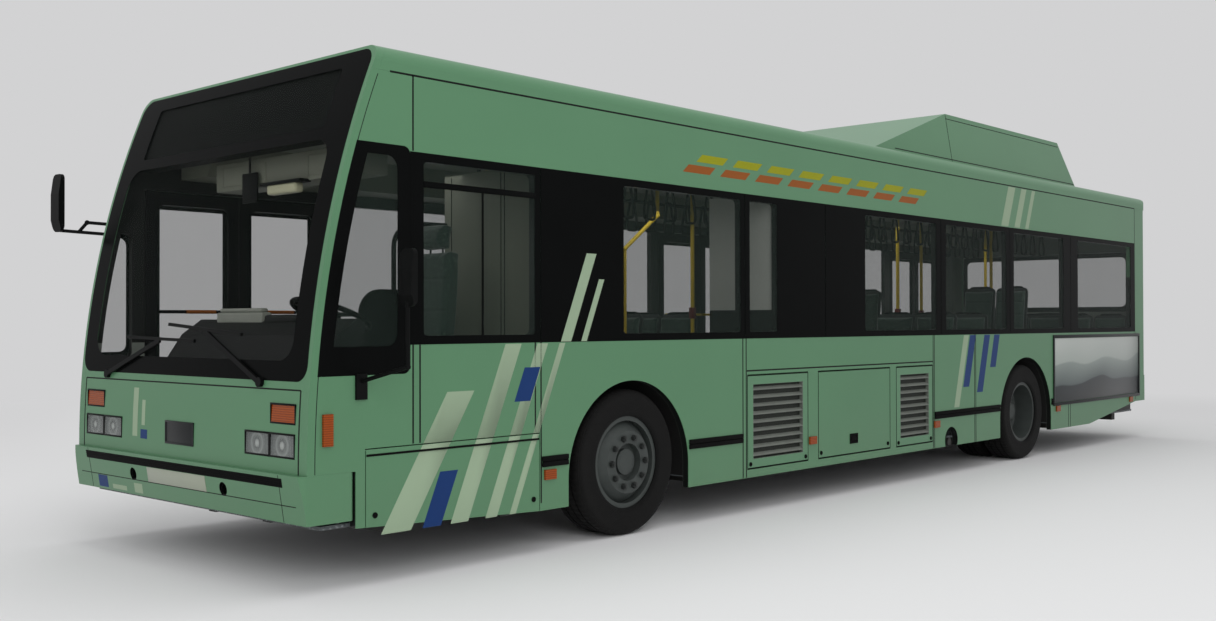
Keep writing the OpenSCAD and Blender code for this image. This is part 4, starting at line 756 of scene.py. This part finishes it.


# Front lamps: paired square headlamps with ribbed lenses whose round reflectors are only a painted
# reflection, amber indicators above them, each in a dark bezel.
# Headlamp: clear glass with a painted reflection of a grey bowl, brightest at its middle, behind ribs 14 mm
# apart
clear_lens, tree, shader, place = finish("headlamp_lens_painted_reflection", {"Roughness": 0.12, "Coat Weight": 0.6,
                                                           "Coat Roughness": 0.05})
at = add(tree, "SeparateXYZ", {0: place}).outputs
side = add(tree, "Math", {0: at["Y"]}, operation="ABSOLUTE")
spot = add(tree, "CombineXYZ", {0: side, 1: at["Z"]})
inner, outer = (add(tree, "VectorMath", {0: spot, 1: (y, 0.7535, 0)}, operation="DISTANCE")
                for y in (0.814, 1.05))
reach = add(tree, "Math", {0: inner, 1: outer}, operation="MINIMUM")
# Painted reflection: the reflector bowl's brightness, lightest at each lamp's middle, put into the lens
# colour
painted_bowl_reflection = add(tree, "ValToRGB", {0: add(tree, "MapRange", {0: reach, 1: 0.0, 2: 0.13})})
painted_bowl_reflection.color_ramp.elements[0].color = linear("#9a9f9b")
painted_bowl_reflection.color_ramp.elements[1].color = linear("#3a403e")
for position, code in ((0.12, "#868b88"), (0.2, "#454b49"), (0.42, "#727875"), (0.5, "#565c5a")):
    painted_bowl_reflection.color_ramp.elements.new(position).color = linear(code)
ribbed = add(tree, "TexWave", {"Vector": place, "Scale": WAVE / 0.014}, bands_direction="Y")
surface(tree, shader, painted_bowl_reflection, ribbed.outputs["Fac"], 0.5, 0.003)
dress(clear_lens, "headlamps")


def lens(name, code, deep):
    """Moulded coloured lens with ribs 12 mm apart, deeper in colour between them."""
    material, tree, shader, place = finish(name, {"Roughness": 0.25, "Coat Weight": 0.1,
                                                  "Coat Roughness": 0.08, "Specular IOR Level": 0.2})
    ribs = add(tree, "TexWave", {"Vector": place, "Scale": WAVE / 0.012}, bands_direction="Z").outputs["Fac"]
    tone = add(tree, "Mix", {0: ribs, 6: deep, 7: code}, data_type="RGBA")
    surface(tree, shader, tone, ribs, 0.4, 0.002)
    return material


dress(lens("amber_lens", "#95430b", "#773205"), "amber_lamps")
dress(lens("red_lens", "#7d1613", "#5a0d0c"), "tail_lamps")
bezels = []
for side in (1, -1):
    for y0, y1, z0, z1, x in ((0.7, 0.928, 0.695, 0.812, 5.9593), (0.938, 1.162, 0.695, 0.812, 5.9593),
                              (0.938, 1.162, 0.87, 0.966, 5.954)):
        for a, b, c, d in border(y0 - 0.005, y1 + 0.005, z0 - 0.006, z1 + 0.006, 0.009, 0.01):
            bezels.append(((x - 0.004, side * a, c), (x + 0.003, side * b, d)))
# Moulded plastic: fine-grained black that stays dark, with little shine
moulded = mottle("moulded_black_plastic", "#060707", "#0b0c0c", 120, 2, 0.2, 0.5, specular=0.1)
fit(boxes("lamp_bezels", bezels, 0.001), moulded)


# Tail: a service hatch with a sealed joint and two paddle latches, a blank number plate under its
# lamp, and rubber rings round the round lamps.
tail_x = -5.98


def on_tail(y0, y1, z0, z1, proud, base=0.0002):
    """Two corners of a box on the tail's face, from base to proud off it."""
    return (tail_x - proud, y0, z0), (tail_x - base, y1, z1)


hatch = [on_tail(-0.9, 0.9, z - 0.004, z + 0.004, 0.0006, -0.001) for z in (0.79, 1.44)]
hatch += [on_tail(y - 0.004, y + 0.004, 0.794, 1.436, 0.0006, -0.001) for y in (-0.9, 0.9)]
fit(boxes("tail_hatch_joint", hatch), sealant)
latches = [on_tail(y - 0.07, y + 0.07, 0.85, 0.93, 0.005) for y in (-0.7, 0.7)]
latches += [on_tail(y - 0.05, y + 0.05, 0.87, 0.9, 0.012, 0.005) for y in (-0.7, 0.7)]
fit(boxes("tail_hatch_latches", latches, 0.002), rubber)
plate = [on_tail(-0.26, 0.26, 0.95, 1.06, 0.003), on_tail(-0.255, 0.255, 0.955, 1.055, 0.0038, 0.003)]
fit(boxes("rear_number_plate", plate, 0.0006), plate_paint)
plate_lamp = [on_tail(-0.1, 0.1, 1.07, 1.095, 0.017), on_tail(-0.08, 0.08, 1.066, 1.07, 0.013, 0.004)]
fit(boxes("plate_lamp", plate_lamp, 0.003), moulded)
circle = [(math.cos(math.radians(a)), math.sin(math.radians(a))) for a in range(0, 360, 12)]
rings = [[(tail_x - 0.005, side * 1.12 + 0.0585 * c, z + 0.0585 * d) for c, d in circle]
         for side in (1, -1) for z in (0.88, 1.01, 1.14, 1.27)]
fit(tube("tail_lamp_rings", rings, 0.0045, 0.004, True), rubber)


# Mirrors and wipers: moulded black heads on steel tube arms, with flat mirror glass towards the
# tail, and black sprung wiper arms.
dress(moulded, "mirrors", "wipers", "steering_wheel")
# Mirror glass: bright, with smears that blur the reflection here and there
silvered, tree, shader, place = finish("silvered_glass", {"Base Color": "#c9cdcd", "Metallic": 1.0})
smear = add(tree, "TexNoise", {"Vector": place, "Scale": 9.0, "Detail": 4.0})
link(tree, shader, {"Roughness": add(tree, "MapRange", {0: smear, 3: 0.02, 4: 0.1})})
for name, x, y, z0, z1 in (("right", 5.958, -1.56, 2.035, 2.355), ("left", 5.528, 1.565, 1.51, 1.755)):
    mirror = boxes("mirror_glass_" + name, [((x - 0.0035, y - 0.042, z0), (x - 0.0003, y + 0.042, z1))])
    round_along(mirror, 0, 0.02)
    fit(done(mirror, mirror.name), silvered)


# Doors: black aluminium leaves with rubber finger guards along the meeting edges and black ink
# round each pane.
# Leaf enamel: smooth black, a little shinier than the plastic
leaf_enamel = mottle("black_leaf_enamel", "#0c0d0e", "#121314", 250, 4, 0.03, 0.35, specular=0.15)
dress(leaf_enamel, *("%s_door_%s" % leaf for leaf in leaves))
for leaf in leaves:
    low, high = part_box("%s_door_%s" % leaf)
    x, inward = (low[0], 1) if leaf[1] == "fore" else (high[0], -1)
    guard = boxes("finger_guard_%s_%s" % leaf, [
        ((x, -1.2715, 0.37), (x + inward * 0.02, -1.2702, 2.25)),
        ((x + inward * 0.003, -1.2725, 0.37), (x + inward * 0.008, -1.2715, 2.25))], 0.0003)
    fit(guard, rubber, "leaf_%s_%s" % leaf)
    low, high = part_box("%s_pane_%s" % leaf)
    sides = border(low[2] + 0.001, high[2] - 0.001, low[0] + 0.001, high[0] - 0.001, 0.029, 0.034)
    edges = boxes("pane_border_%s_%s" % leaf, [((x0, low[1] - 0.0007, z0), (x1, low[1] - 0.0001, z1))
                                               for z0, z1, x0, x1 in sides])
    fit(edges, ink, "leaf_%s_%s" % leaf)


# Roof: two emergency hatches with rounded lids, and dark joints on the roof pod's cover, whose
# sides lean inwards.
hatches = []
for x0, x1 in ((2.9, 3.7), (-5.3, -4.6)):
    hatches += [((x0, -0.4, 2.8805), (x1, 0.4, 2.905)), ((x0 - 0.04, -0.44, 2.905), (x1 + 0.04, 0.44, 2.935))]
fit(boxes("roof_hatches", hatches, 0.012, 3), panel_enamel)
pod_lines = []
for side in (1, -1):
    y0, y1 = side * 1.077, side * 1.0812
    pod_lines += [((-4.02, y0, 3.33), (-1.38, y1, 3.336)), ((-4.3, y0, 2.93), (-0.3, y1, 2.938)),
                  ((-1.383, y0, 2.89), (-1.377, y1, 3.37))]
pod_joints = boxes("pod_joints", pod_lines)
for point in pod_joints.data.vertices:
    point.co.y -= math.copysign(0.16 * (point.co.z - 2.88), point.co.y)
fit(pod_joints, sealant)


# Seats: plastic shells on steel legs, with foam cushions and backs in dark green moquette, sewn
# across in channels, and a black grab rail on each back.
def pad(name, length, width, thick, channels):
    """Stuffed pad, face up on the origin, swollen by a cloth simulation and then sewn across."""
    swell = 0.012
    piece = boxes(name, [((swell - length / 2, swell - width / 2, 0.002),
                          (length / 2 - swell, width / 2 - swell, thick - swell))], 0.012, 3)
    modify(piece, "REMESH", mode="VOXEL", voxel_size=0.006)
    start = [point.co.copy() for point in piece.data.vertices]
    bpy.ops.object.modifier_add(type="CLOTH")
    cloth = piece.modifiers[-1].settings
    cloth.use_pressure = True
    cloth.uniform_pressure_force = 4.0
    cloth.effector_weights.gravity = 0.0
    for step in range(1, 21):
        bpy.context.scene.frame_set(step)
    bpy.ops.object.modifier_apply(modifier=piece.modifiers[-1].name)
    bpy.context.scene.frame_set(1)
    for point, old in zip(piece.data.vertices, start):
        move = point.co - old
        point.co = old + move * min(1.0, swell / max(move.length, 1e-9))
    for point in piece.data.vertices:
        x, y, z = point.co
        rim = min(length / 2 - abs(x), width / 2 - abs(y))
        if z > thick / 2:
            sunk = sum(0.007 * math.exp(-((x - c) / 0.008) ** 2) for c in channels)
            point.co.z -= sunk + 0.004 * math.exp(-((rim - 0.03) / 0.007) ** 2)
        point.co.z = max(point.co.z, 0.0)
    modify(piece, "DECIMATE", ratio=0.25)
    return done(piece, name, 1.2)


def leant(run, rise, x, y, z):
    """Place of a pad or plate that stands up and leans back, its face forwards."""
    size = math.hypot(run, rise)
    a, b = run / size, rise / size
    return Matrix(((-a, 0, b, x), (0, -1, 0, y), (b, 0, a, z), (0, 0, 0, 1)))


def join(pieces, name):
    """Several meshes as one piece."""
    bpy.ops.object.select_all(action="DESELECT")
    for piece in pieces:
        piece.select_set(True)
    bpy.context.view_layer.objects.active = pieces[0]
    bpy.ops.object.join()
    return done(bpy.context.object, name)


# Moquette: short pile in a 3 mm weave, dark green with paler flecks a finger wide
moquette, tree, shader, place = finish("green_moquette", {"Roughness": 0.92, "Sheen Weight": 0.3,
                                                          "Sheen Roughness": 0.5})
weave = add(tree, "TexChecker", {"Vector": place, "Scale": 1 / 0.003,
                                 "Color1": "#32463c", "Color2": "#283a31"})
cells = add(tree, "TexVoronoi", {"Vector": place, "Scale": 1 / 0.03})
fleck = add(tree, "MapRange", {0: cells.outputs["Distance"], 1: 0.22, 2: 0.26, 3: 0.55, 4: 0.0})
tone = add(tree, "Mix", {0: fleck, 6: weave, 7: "#566e5f"}, data_type="RGBA")
surface(tree, shader, tone, weave.outputs[1], 0.35, 0.001)
# Seat shells: grained dark grey plastic
shell_plastic = mottle("grey_seat_shell", "#2c302f", "#232726", 120, 2, 0.2, 0.5)
seat_w = 0.415
cushion = pad("seat_cushion", 0.335, seat_w, 0.058, (-0.06, 0.05))
rest = pad("seat_rest", 0.54, seat_w, 0.05, (-0.13, 0.0, 0.13))
pan = boxes("seat_pan", [((-0.43, -seat_w / 2, -0.086), (-0.002, seat_w / 2, -0.056))], 0.01, 3)
back_place = leant(0.08, 0.62, -0.425, 0.0, 0.3)
back_plate = boxes("seat_plate", [((-0.35, -seat_w / 2, -0.016), (0.285, seat_w / 2, -0.001))])
round_along(back_plate, 2, 0.05)
back_plate.data.transform(back_place)
shell = join([pan, back_plate], "seat_shell")
rail_bends = ((0.18, -0.15), (0.295, -0.15), (0.295, 0.15), (0.18, 0.15))
rail = tube("seat_rail", [[(x, y, -0.012) for x, y in rail_bends]], 0.011, 0.05)
rail.data.transform(back_place)
# Rows: front edge behind the bumper, side, inner and outer edge, seats, cushion's height
low_top, box_top = 0.88, 1.1554
rows = [(s, 1, 0.345, 1.205, 2, low_top) for s in (6.755, 7.395, 9.315, 10.055)]
rows += [(s, -1, 0.345, 1.205, 2, low_top) for s in (3.3, 4.05, 4.8, 7.395, 9.315)]
rows += [(s, side, 0.5, 1.205, 2, box_top) for s, side in ((2.275, -1), (8.32, 1), (8.32, -1))]
rows.append((11.12, 1, -0.4, 1.205, 4, low_top))
for row, (s, side, inner, outer, seats, top) in enumerate(rows):
    pitch = (outer - inner) / seats
    row_name = "row_%02d_" % (row + 1)
    shells, rails = [], []
    for i in range(seats):
        spot = Matrix.Translation((front_x - s, side * (inner + (i + 0.5) * pitch), top)) @ Matrix.Diagonal(
            (1, (pitch - 0.012) / seat_w, 1, 1))
        name = row_name + "seat_%d" % (i + 1)
        seat = twin(cushion, name + "_cushion", spot @ Matrix.Translation((-0.171, 0, -0.056)))
        back = twin(rest, name + "_back", spot @ back_place)
        for piece in (seat, back):
            fit(piece, moquette)
        shells.append(twin(shell, name + "_shell", spot))
        rails.append(twin(rail, name + "_rail", spot))
    fit(join(shells, row_name + "shells"), shell_plastic)
    fit(join(rails, row_name + "rails"), moulded)
    if top == low_top:
        x = front_x - s
        parts = [((x - 0.25, side * (inner + 0.03), 0.76), (x - 0.21, side * (outer - 0.03), 0.797))]
        for y in (inner + 0.1, outer - 0.1):
            parts += [((x - 0.26, side * y - 0.02, 0.35), (x - 0.2, side * y + 0.02, 0.77)),
                      ((x - 0.36, side * y - 0.035, 0.3405), (x - 0.1, side * y + 0.035, 0.352))]
        legs = boxes(row_name + "legs", parts, 0.004)
        fit(legs, moulded)
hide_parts("passenger_seats")
for master in (cushion, rest, shell, rail):
    bpy.data.objects.remove(master)


# Driver's seat: a tall padded back with a separate headrest and a deep cushion, in the same cloth,
# on a sprung pedestal behind a rubber gaiter.
driver_y = 0.55
seat = pad("driver_cushion", 0.4, 0.46, 0.095, (0.0,))
seat.data.transform(Matrix.Translation((4.855, driver_y, 0.968)))
back = pad("driver_back", 0.78, 0.46, 0.1, (-0.2, 0.0, 0.2))
for point in back.data.vertices:
    point.co.y *= 1.0 - 0.16 * max(0.0, point.co.x / 0.39) ** 2
back.data.transform(leant(0.09, 0.8, 4.526, driver_y, 1.45))
head = pad("driver_headrest", 0.17, 0.24, 0.085, ())
head.data.transform(leant(0.03, 0.17, 4.484, driver_y, 1.917))
for piece in (seat, back, head):
    fit(piece, moquette)
gaiter = [((4.68, 0.43, 0.6005), (4.94, 0.67, 0.62)), ((4.67, 0.42, 0.93), (4.95, 0.68, 0.967))]
for i in range(10):
    out = 0.012 * (i % 2)
    z = 0.62 + 0.031 * i
    gaiter.append(((4.69 - out, 0.44 - out, z), (4.93 + out, 0.66 + out, z + 0.031)))
pedestal = boxes("driver_pedestal", gaiter, 0.006)
fit(pedestal, rubber)
stems = [[(4.517, driver_y + y, 1.78), (4.517, driver_y + y, 1.88)] for y in (-0.06, 0.06)]
fit(tube("headrest_stems", stems, 0.006), moulded)
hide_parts("driver_seat")


# Kick boards: black-painted ply at the foot of the left wall and across the tail, screwed to the
# floor, which close the gap above the sloping skirt.
boards = [((-5.6, 1.2, 0.3405), (-3.2, 1.222, 0.775)), ((-5.62, -1.2, 0.3405), (-5.6, 1.2, 0.45)),
          ((-5.925, -1.22, 0.439), (-5.62, 1.22, 0.45))]
fit(boxes("kick_boards", boards, 0.002), chassis_paint)


# Dashboard: a vacuum-formed black cover with a grained top, an instrument hood before the
# steering wheel, and a grey moulded ticket machine beside it.
# Dash cover: dull black, with a soft 4 mm grain that lightens the top a little
dash, tree, shader, place = finish("dash_cover", {"Roughness": 0.6, "Specular IOR Level": 0.25})
at = add(tree, "SeparateXYZ", {0: place}).outputs
upper = add(tree, "MapRange", {0: at["Z"], 1: 1.34, 2: 1.36})
grain = add(tree, "TexNoise", {"Vector": place, "Scale": 1 / 0.004, "Detail": 3.0})
pads = add(tree, "Mix", {0: grain, 6: "#171918", 7: "#111312"}, data_type="RGBA")
tone = add(tree, "Mix", {0: upper, 6: "#0e0f0f", 7: pads}, data_type="RGBA")
surface(tree, shader, tone, grain, 0.3, 0.001)
dress(dash, "dashboard")
hood = boxes("instrument_hood", [((5.53, 0.3, 1.385), (5.6, 0.74, 1.435))], 0.018, 4)
fit(hood, dash)
# Machine case: mid grey plastic, the one pale thing on the dashboard
grey_case = mottle("grey_machine_case", "#8a8e84", "#7b7f76", 60, 2, 0.15, 0.55)
machine = [((5.53, -0.22, 1.385), (5.6, 0.28, 1.45)), ((5.54, -0.2, 1.45), (5.59, 0.26, 1.475))]
fit(boxes("ticket_machine", machine, 0.012, 4), grey_case)


# Cab: a low black door beside the driver with a bent tube above it, trim strips on the wall behind
# the seat, a laminated header panel, and a mirror and a lamp under it.
door = boxes("cab_door", [((4.225, 0.25, 0.61), (4.9, 0.272, 1.6))])
round_along(door, 1, 0.16, 8)
fit(done(door, "cab_door"), moulded)
cab_route = [(4.63, 0.261, 1.5), (4.63, 0.261, 1.95), (4.5, 0.261, 2.03), (4.221, 0.29, 2.03)]
fit(tube("cab_tube", [cab_route], 0.016, 0.09), moulded)
trim = [((4.2203, y - 0.004, 1.0), (4.2212, y + 0.004, 2.34)) for y in (0.345, 0.824, 0.857, 1.112)]
fit(boxes("cab_wall_trim", trim), moulded)
cab_mirror = [((5.49, -0.09, 2.11), (5.505, 0.07, 2.29)), ((5.496, -0.02, 2.28), (5.504, 0.0, 2.385))]
fit(boxes("cab_mirror", cab_mirror, 0.004), moulded)
# Lamp diffusers: milky plastic
milky = mottle("milky_diffuser", "#b9b99a", "#a9a98c", 90, 3, 0.05, 0.45)
fit(boxes("cab_lamp", [((5.46, 0.2, 2.14), (5.52, 0.5, 2.2))], 0.015, 3), milky)
holder = boxes("cab_lamp_holder", [((5.45, 0.14, 2.195), (5.53, 0.56, 2.215))], 0.006)
fit(holder, moulded)
header = boxes("cab_header_panel", [((5.28, -0.45, 2.205), (5.47, 1.05, 2.375)),
                                    ((5.465, -0.36, 2.23), (5.474, 0.12, 2.35)),
                                    ((5.465, 0.56, 2.23), (5.474, 1.0, 2.35))], 0.008)
fit(header, laminate)


# Straps: black loops on a rail under the ceiling along both sides of the aisle, for standing riders.
# The rails hang on short tubes.
strap_y = 0.42
strap_z = 2.43
routes = [[(3.45, y, strap_z), (-5.25, y, strap_z)] for y in (-strap_y, strap_y)]
routes += [[(x, y, strap_z), (x, y, 2.561)] for x in (3.3, 1.5, -0.3, -2.1, -3.9, -5.1)
           for y in (-strap_y, strap_y)]
fit(tube("strap_rails", routes, 0.014), moulded)
loop = [(0.0, 2.445), (0.02, 2.445), (0.065, 2.26), (0.06, 2.18), (-0.06, 2.18), (-0.065, 2.26),
        (-0.02, 2.445)]
for side, y in (("left", strap_y), ("right", -strap_y)):
    loops = [[(3.3 - 0.25 * i + x, y, z) for x, z in loop] for i in range(34)]
    fit(tube("straps_" + side, loops, 0.011, 0.03, True), moulded)


# Poles and door bars: yellow powder-coated tubes, one across the inside of each leaf with a bright
# sleeve in its middle, and red stop buttons on the poles.
# Powder coat: strong yellow with a fine orange-peel skin
yellow = mottle("yellow_powder_coat", "#cfb31b", "#c2a717", 60, 2, 0.08, 0.4)
dress(yellow, "handrails")
bar_y, bar_z = -1.196, 1.465
for leaf in leaves:
    low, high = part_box("%s_door_%s" % leaf)
    x0, x1 = (low[0] + 0.03, high[0] - 0.1) if leaf[1] == "fore" else (low[0] + 0.1, high[0] - 0.03)
    bar = tube("door_bar_%s_%s" % leaf, [[(x0, -1.2295, bar_z), (x0, bar_y, bar_z), (x1, bar_y, bar_z),
                                          (x1, -1.2295, bar_z)]], 0.012, 0.024)
    middle = (x0 + x1) / 2
    sleeve = tube("door_sleeve_%s_%s" % leaf, [[(middle + x, bar_y, bar_z) for x in (-0.11, 0.11)]], 0.0135)
    fit(bar, moulded if leaf[0] == "front" else yellow, "leaf_%s_%s" % leaf)
    fit(sleeve, films["orange"], "leaf_%s_%s" % leaf)
button_places = [(2.7, -1), (3.0, 1), (3.7, -1), (5.03, 1), (5.155, -1), (7.68, 1), (7.5, -1), (9.8, 1),
                 (9.36, -1)]
buttons = []
for s, side in button_places:
    x, y = front_x - s, side * 0.32
    buttons += [((x - 0.024, y - 0.024, 1.42), (x + 0.024, y + 0.024, 1.52)),
                ((x - 0.016, y + side * 0.024, 1.45), (x + 0.016, y + side * 0.032, 1.49))]
# Button cases: dark red plastic, slightly shiny
stop_red = mottle("red_button_case", "#6e1512", "#5f110f", 40, 2, 0.1, 0.4)
fit(boxes("stop_buttons", buttons, 0.005), stop_red)


# Door seals: rubber strips along the jambs, and over each doorway a rain gutter with a drip edge,
# which stands off so that the leaves' heels pass under it.
seals = []
for s0, s1 in ((0.453, 1.863), (5.755, 7.105), (10.23, 11.58)):
    seals += [on_side(s0 - 0.02, s0 + 0.006, 0.36, 2.287, -1.281, -1.2752),
              on_side(s1 - 0.006, s1 + 0.02, 0.36, 2.287, -1.281, -1.2752),
              on_side(s0 - 0.02, s1 + 0.02, 2.287, 2.305, -1.302, -1.2752),
              on_side(s0 - 0.02, s1 + 0.02, 2.255, 2.287, -1.302, -1.2955)]
fit(boxes("door_seals", seals, 0.002), rubber)


# Cab side window: a slider's rails on the first pane, in aluminium as black as the ink round it,
# clipped on the glass.
slider = [on_skin(0.79, 1.642, 2.13, 2.165, 0.004), on_skin(1.213, 1.229, 1.31, 2.131, 0.003)]
fit(boxes("slider_rails", slider, 0.001), ink)


# Stage: a plain pale floor that runs out into the backdrop, soft overhead and side light, and
# the camera at the photograph's place.
backdrop = "#d2d2d3"
bpy.ops.object.select_all(action="DESELECT")
bpy.ops.mesh.primitive_plane_add(size=120, location=(0, 0, -0.002))
ground = bpy.context.object
ground.name = "studio_floor"
# Studio paper: matt and pale near the bus, and one with the backdrop from 16 m away
pale, tree, shader, place = finish("studio_paper", {"Base Color": "#e0e0e1", "Roughness": 0.9})
far = add(tree, "VectorMath", {0: place}, operation="LENGTH")
fade = add(tree, "MapRange", {0: far, 1: 8.0, 2: 16.0}, interpolation_type="SMOOTHSTEP")
rays = add(tree, "LightPath").outputs
seen = add(tree, "Math", {0: rays["Is Camera Ray"], 1: rays["Is Transmission Ray"]}, operation="MAXIMUM")
fade = add(tree, "Math", {0: fade, 1: seen}, operation="MULTIPLY")
paper = add(tree, "MixShader", {0: fade, 1: shader, 2: add(tree, "Emission", {"Color": backdrop})})
link(tree, tree.nodes["Material Output"], {"Surface": paper})
ground.data.materials.append(pale)

world = bpy.data.worlds.new("studio")
bpy.context.scene.world = world
world.use_nodes = True
tree = world.node_tree
rays = add(tree, "LightPath").outputs
seen = add(tree, "Math", {0: rays["Is Camera Ray"], 1: rays["Is Transmission Ray"]}, operation="MAXIMUM")
seen = add(tree, "Math", {0: seen, 1: rays["Is Glossy Ray"]}, operation="MAXIMUM")
soft = tree.nodes["Background"]
link(tree, soft, {"Color": "#ffffff", "Strength": 0.5})
shown = add(tree, "Background", {"Color": backdrop, "Strength": 1.0})
both = add(tree, "MixShader", {0: seen, 1: soft, 2: shown})
link(tree, tree.nodes["World Output"], {"Surface": both})


def lamp(name, place, aim, width, power):
    """Soft square lamp at a place, aimed at a point; neither the camera nor a reflection shows it."""
    bpy.ops.object.light_add(type="AREA", location=place)
    light = bpy.context.object
    light.name = name
    light.data.size = width
    light.data.energy = power
    light.visible_camera = False
    light.visible_glossy = False
    light.rotation_euler = (Vector(aim) - Vector(place)).to_track_quat("-Z", "Y").to_euler()


lamp("overhead_soft_box", (1.0, 2.0, 13.0), (0.0, 0.0, 0.0), 14.0, 900)
lamp("left_soft_box", (12.0, 13.0, 7.0), (0.5, 0.0, 1.4), 9.0, 950)
lamp("front_soft_box", (17.0, -3.0, 6.0), (5.0, 0.0, 1.4), 8.0, 260)
lamp("right_soft_box", (-7.0, -14.0, 7.0), (0.0, 0.0, 1.4), 9.0, 600)
for x in (4.4, 1.6, -1.4, -4.4):
    lamp("cabin_light_%d" % (x * 10), (x, 0.0, 2.35), (x, 0.0, 0.0), 0.9, 5)

camera_at = (9.5368, 6.6026, 1.3846)
yaw, pitch, roll = -2.40081, 0.009916, -0.002055
ahead = Vector((math.cos(pitch) * math.cos(yaw), math.cos(pitch) * math.sin(yaw), math.sin(pitch)))
level = ahead.cross(Vector((0, 0, 1))).normalized()
up = level.cross(ahead)
level, up = (math.cos(roll) * level + math.sin(roll) * up, math.cos(roll) * up - math.sin(roll) * level)
bpy.ops.object.camera_add()
camera = bpy.context.object
camera.matrix_world = Matrix.Translation(camera_at) @ Matrix((level, up, -ahead)).transposed().to_4x4()
camera.data.sensor_width = 36.0
camera.data.lens = 36.614
bpy.context.scene.camera = camera
bpy.context.scene.view_settings.view_transform = "Standard"
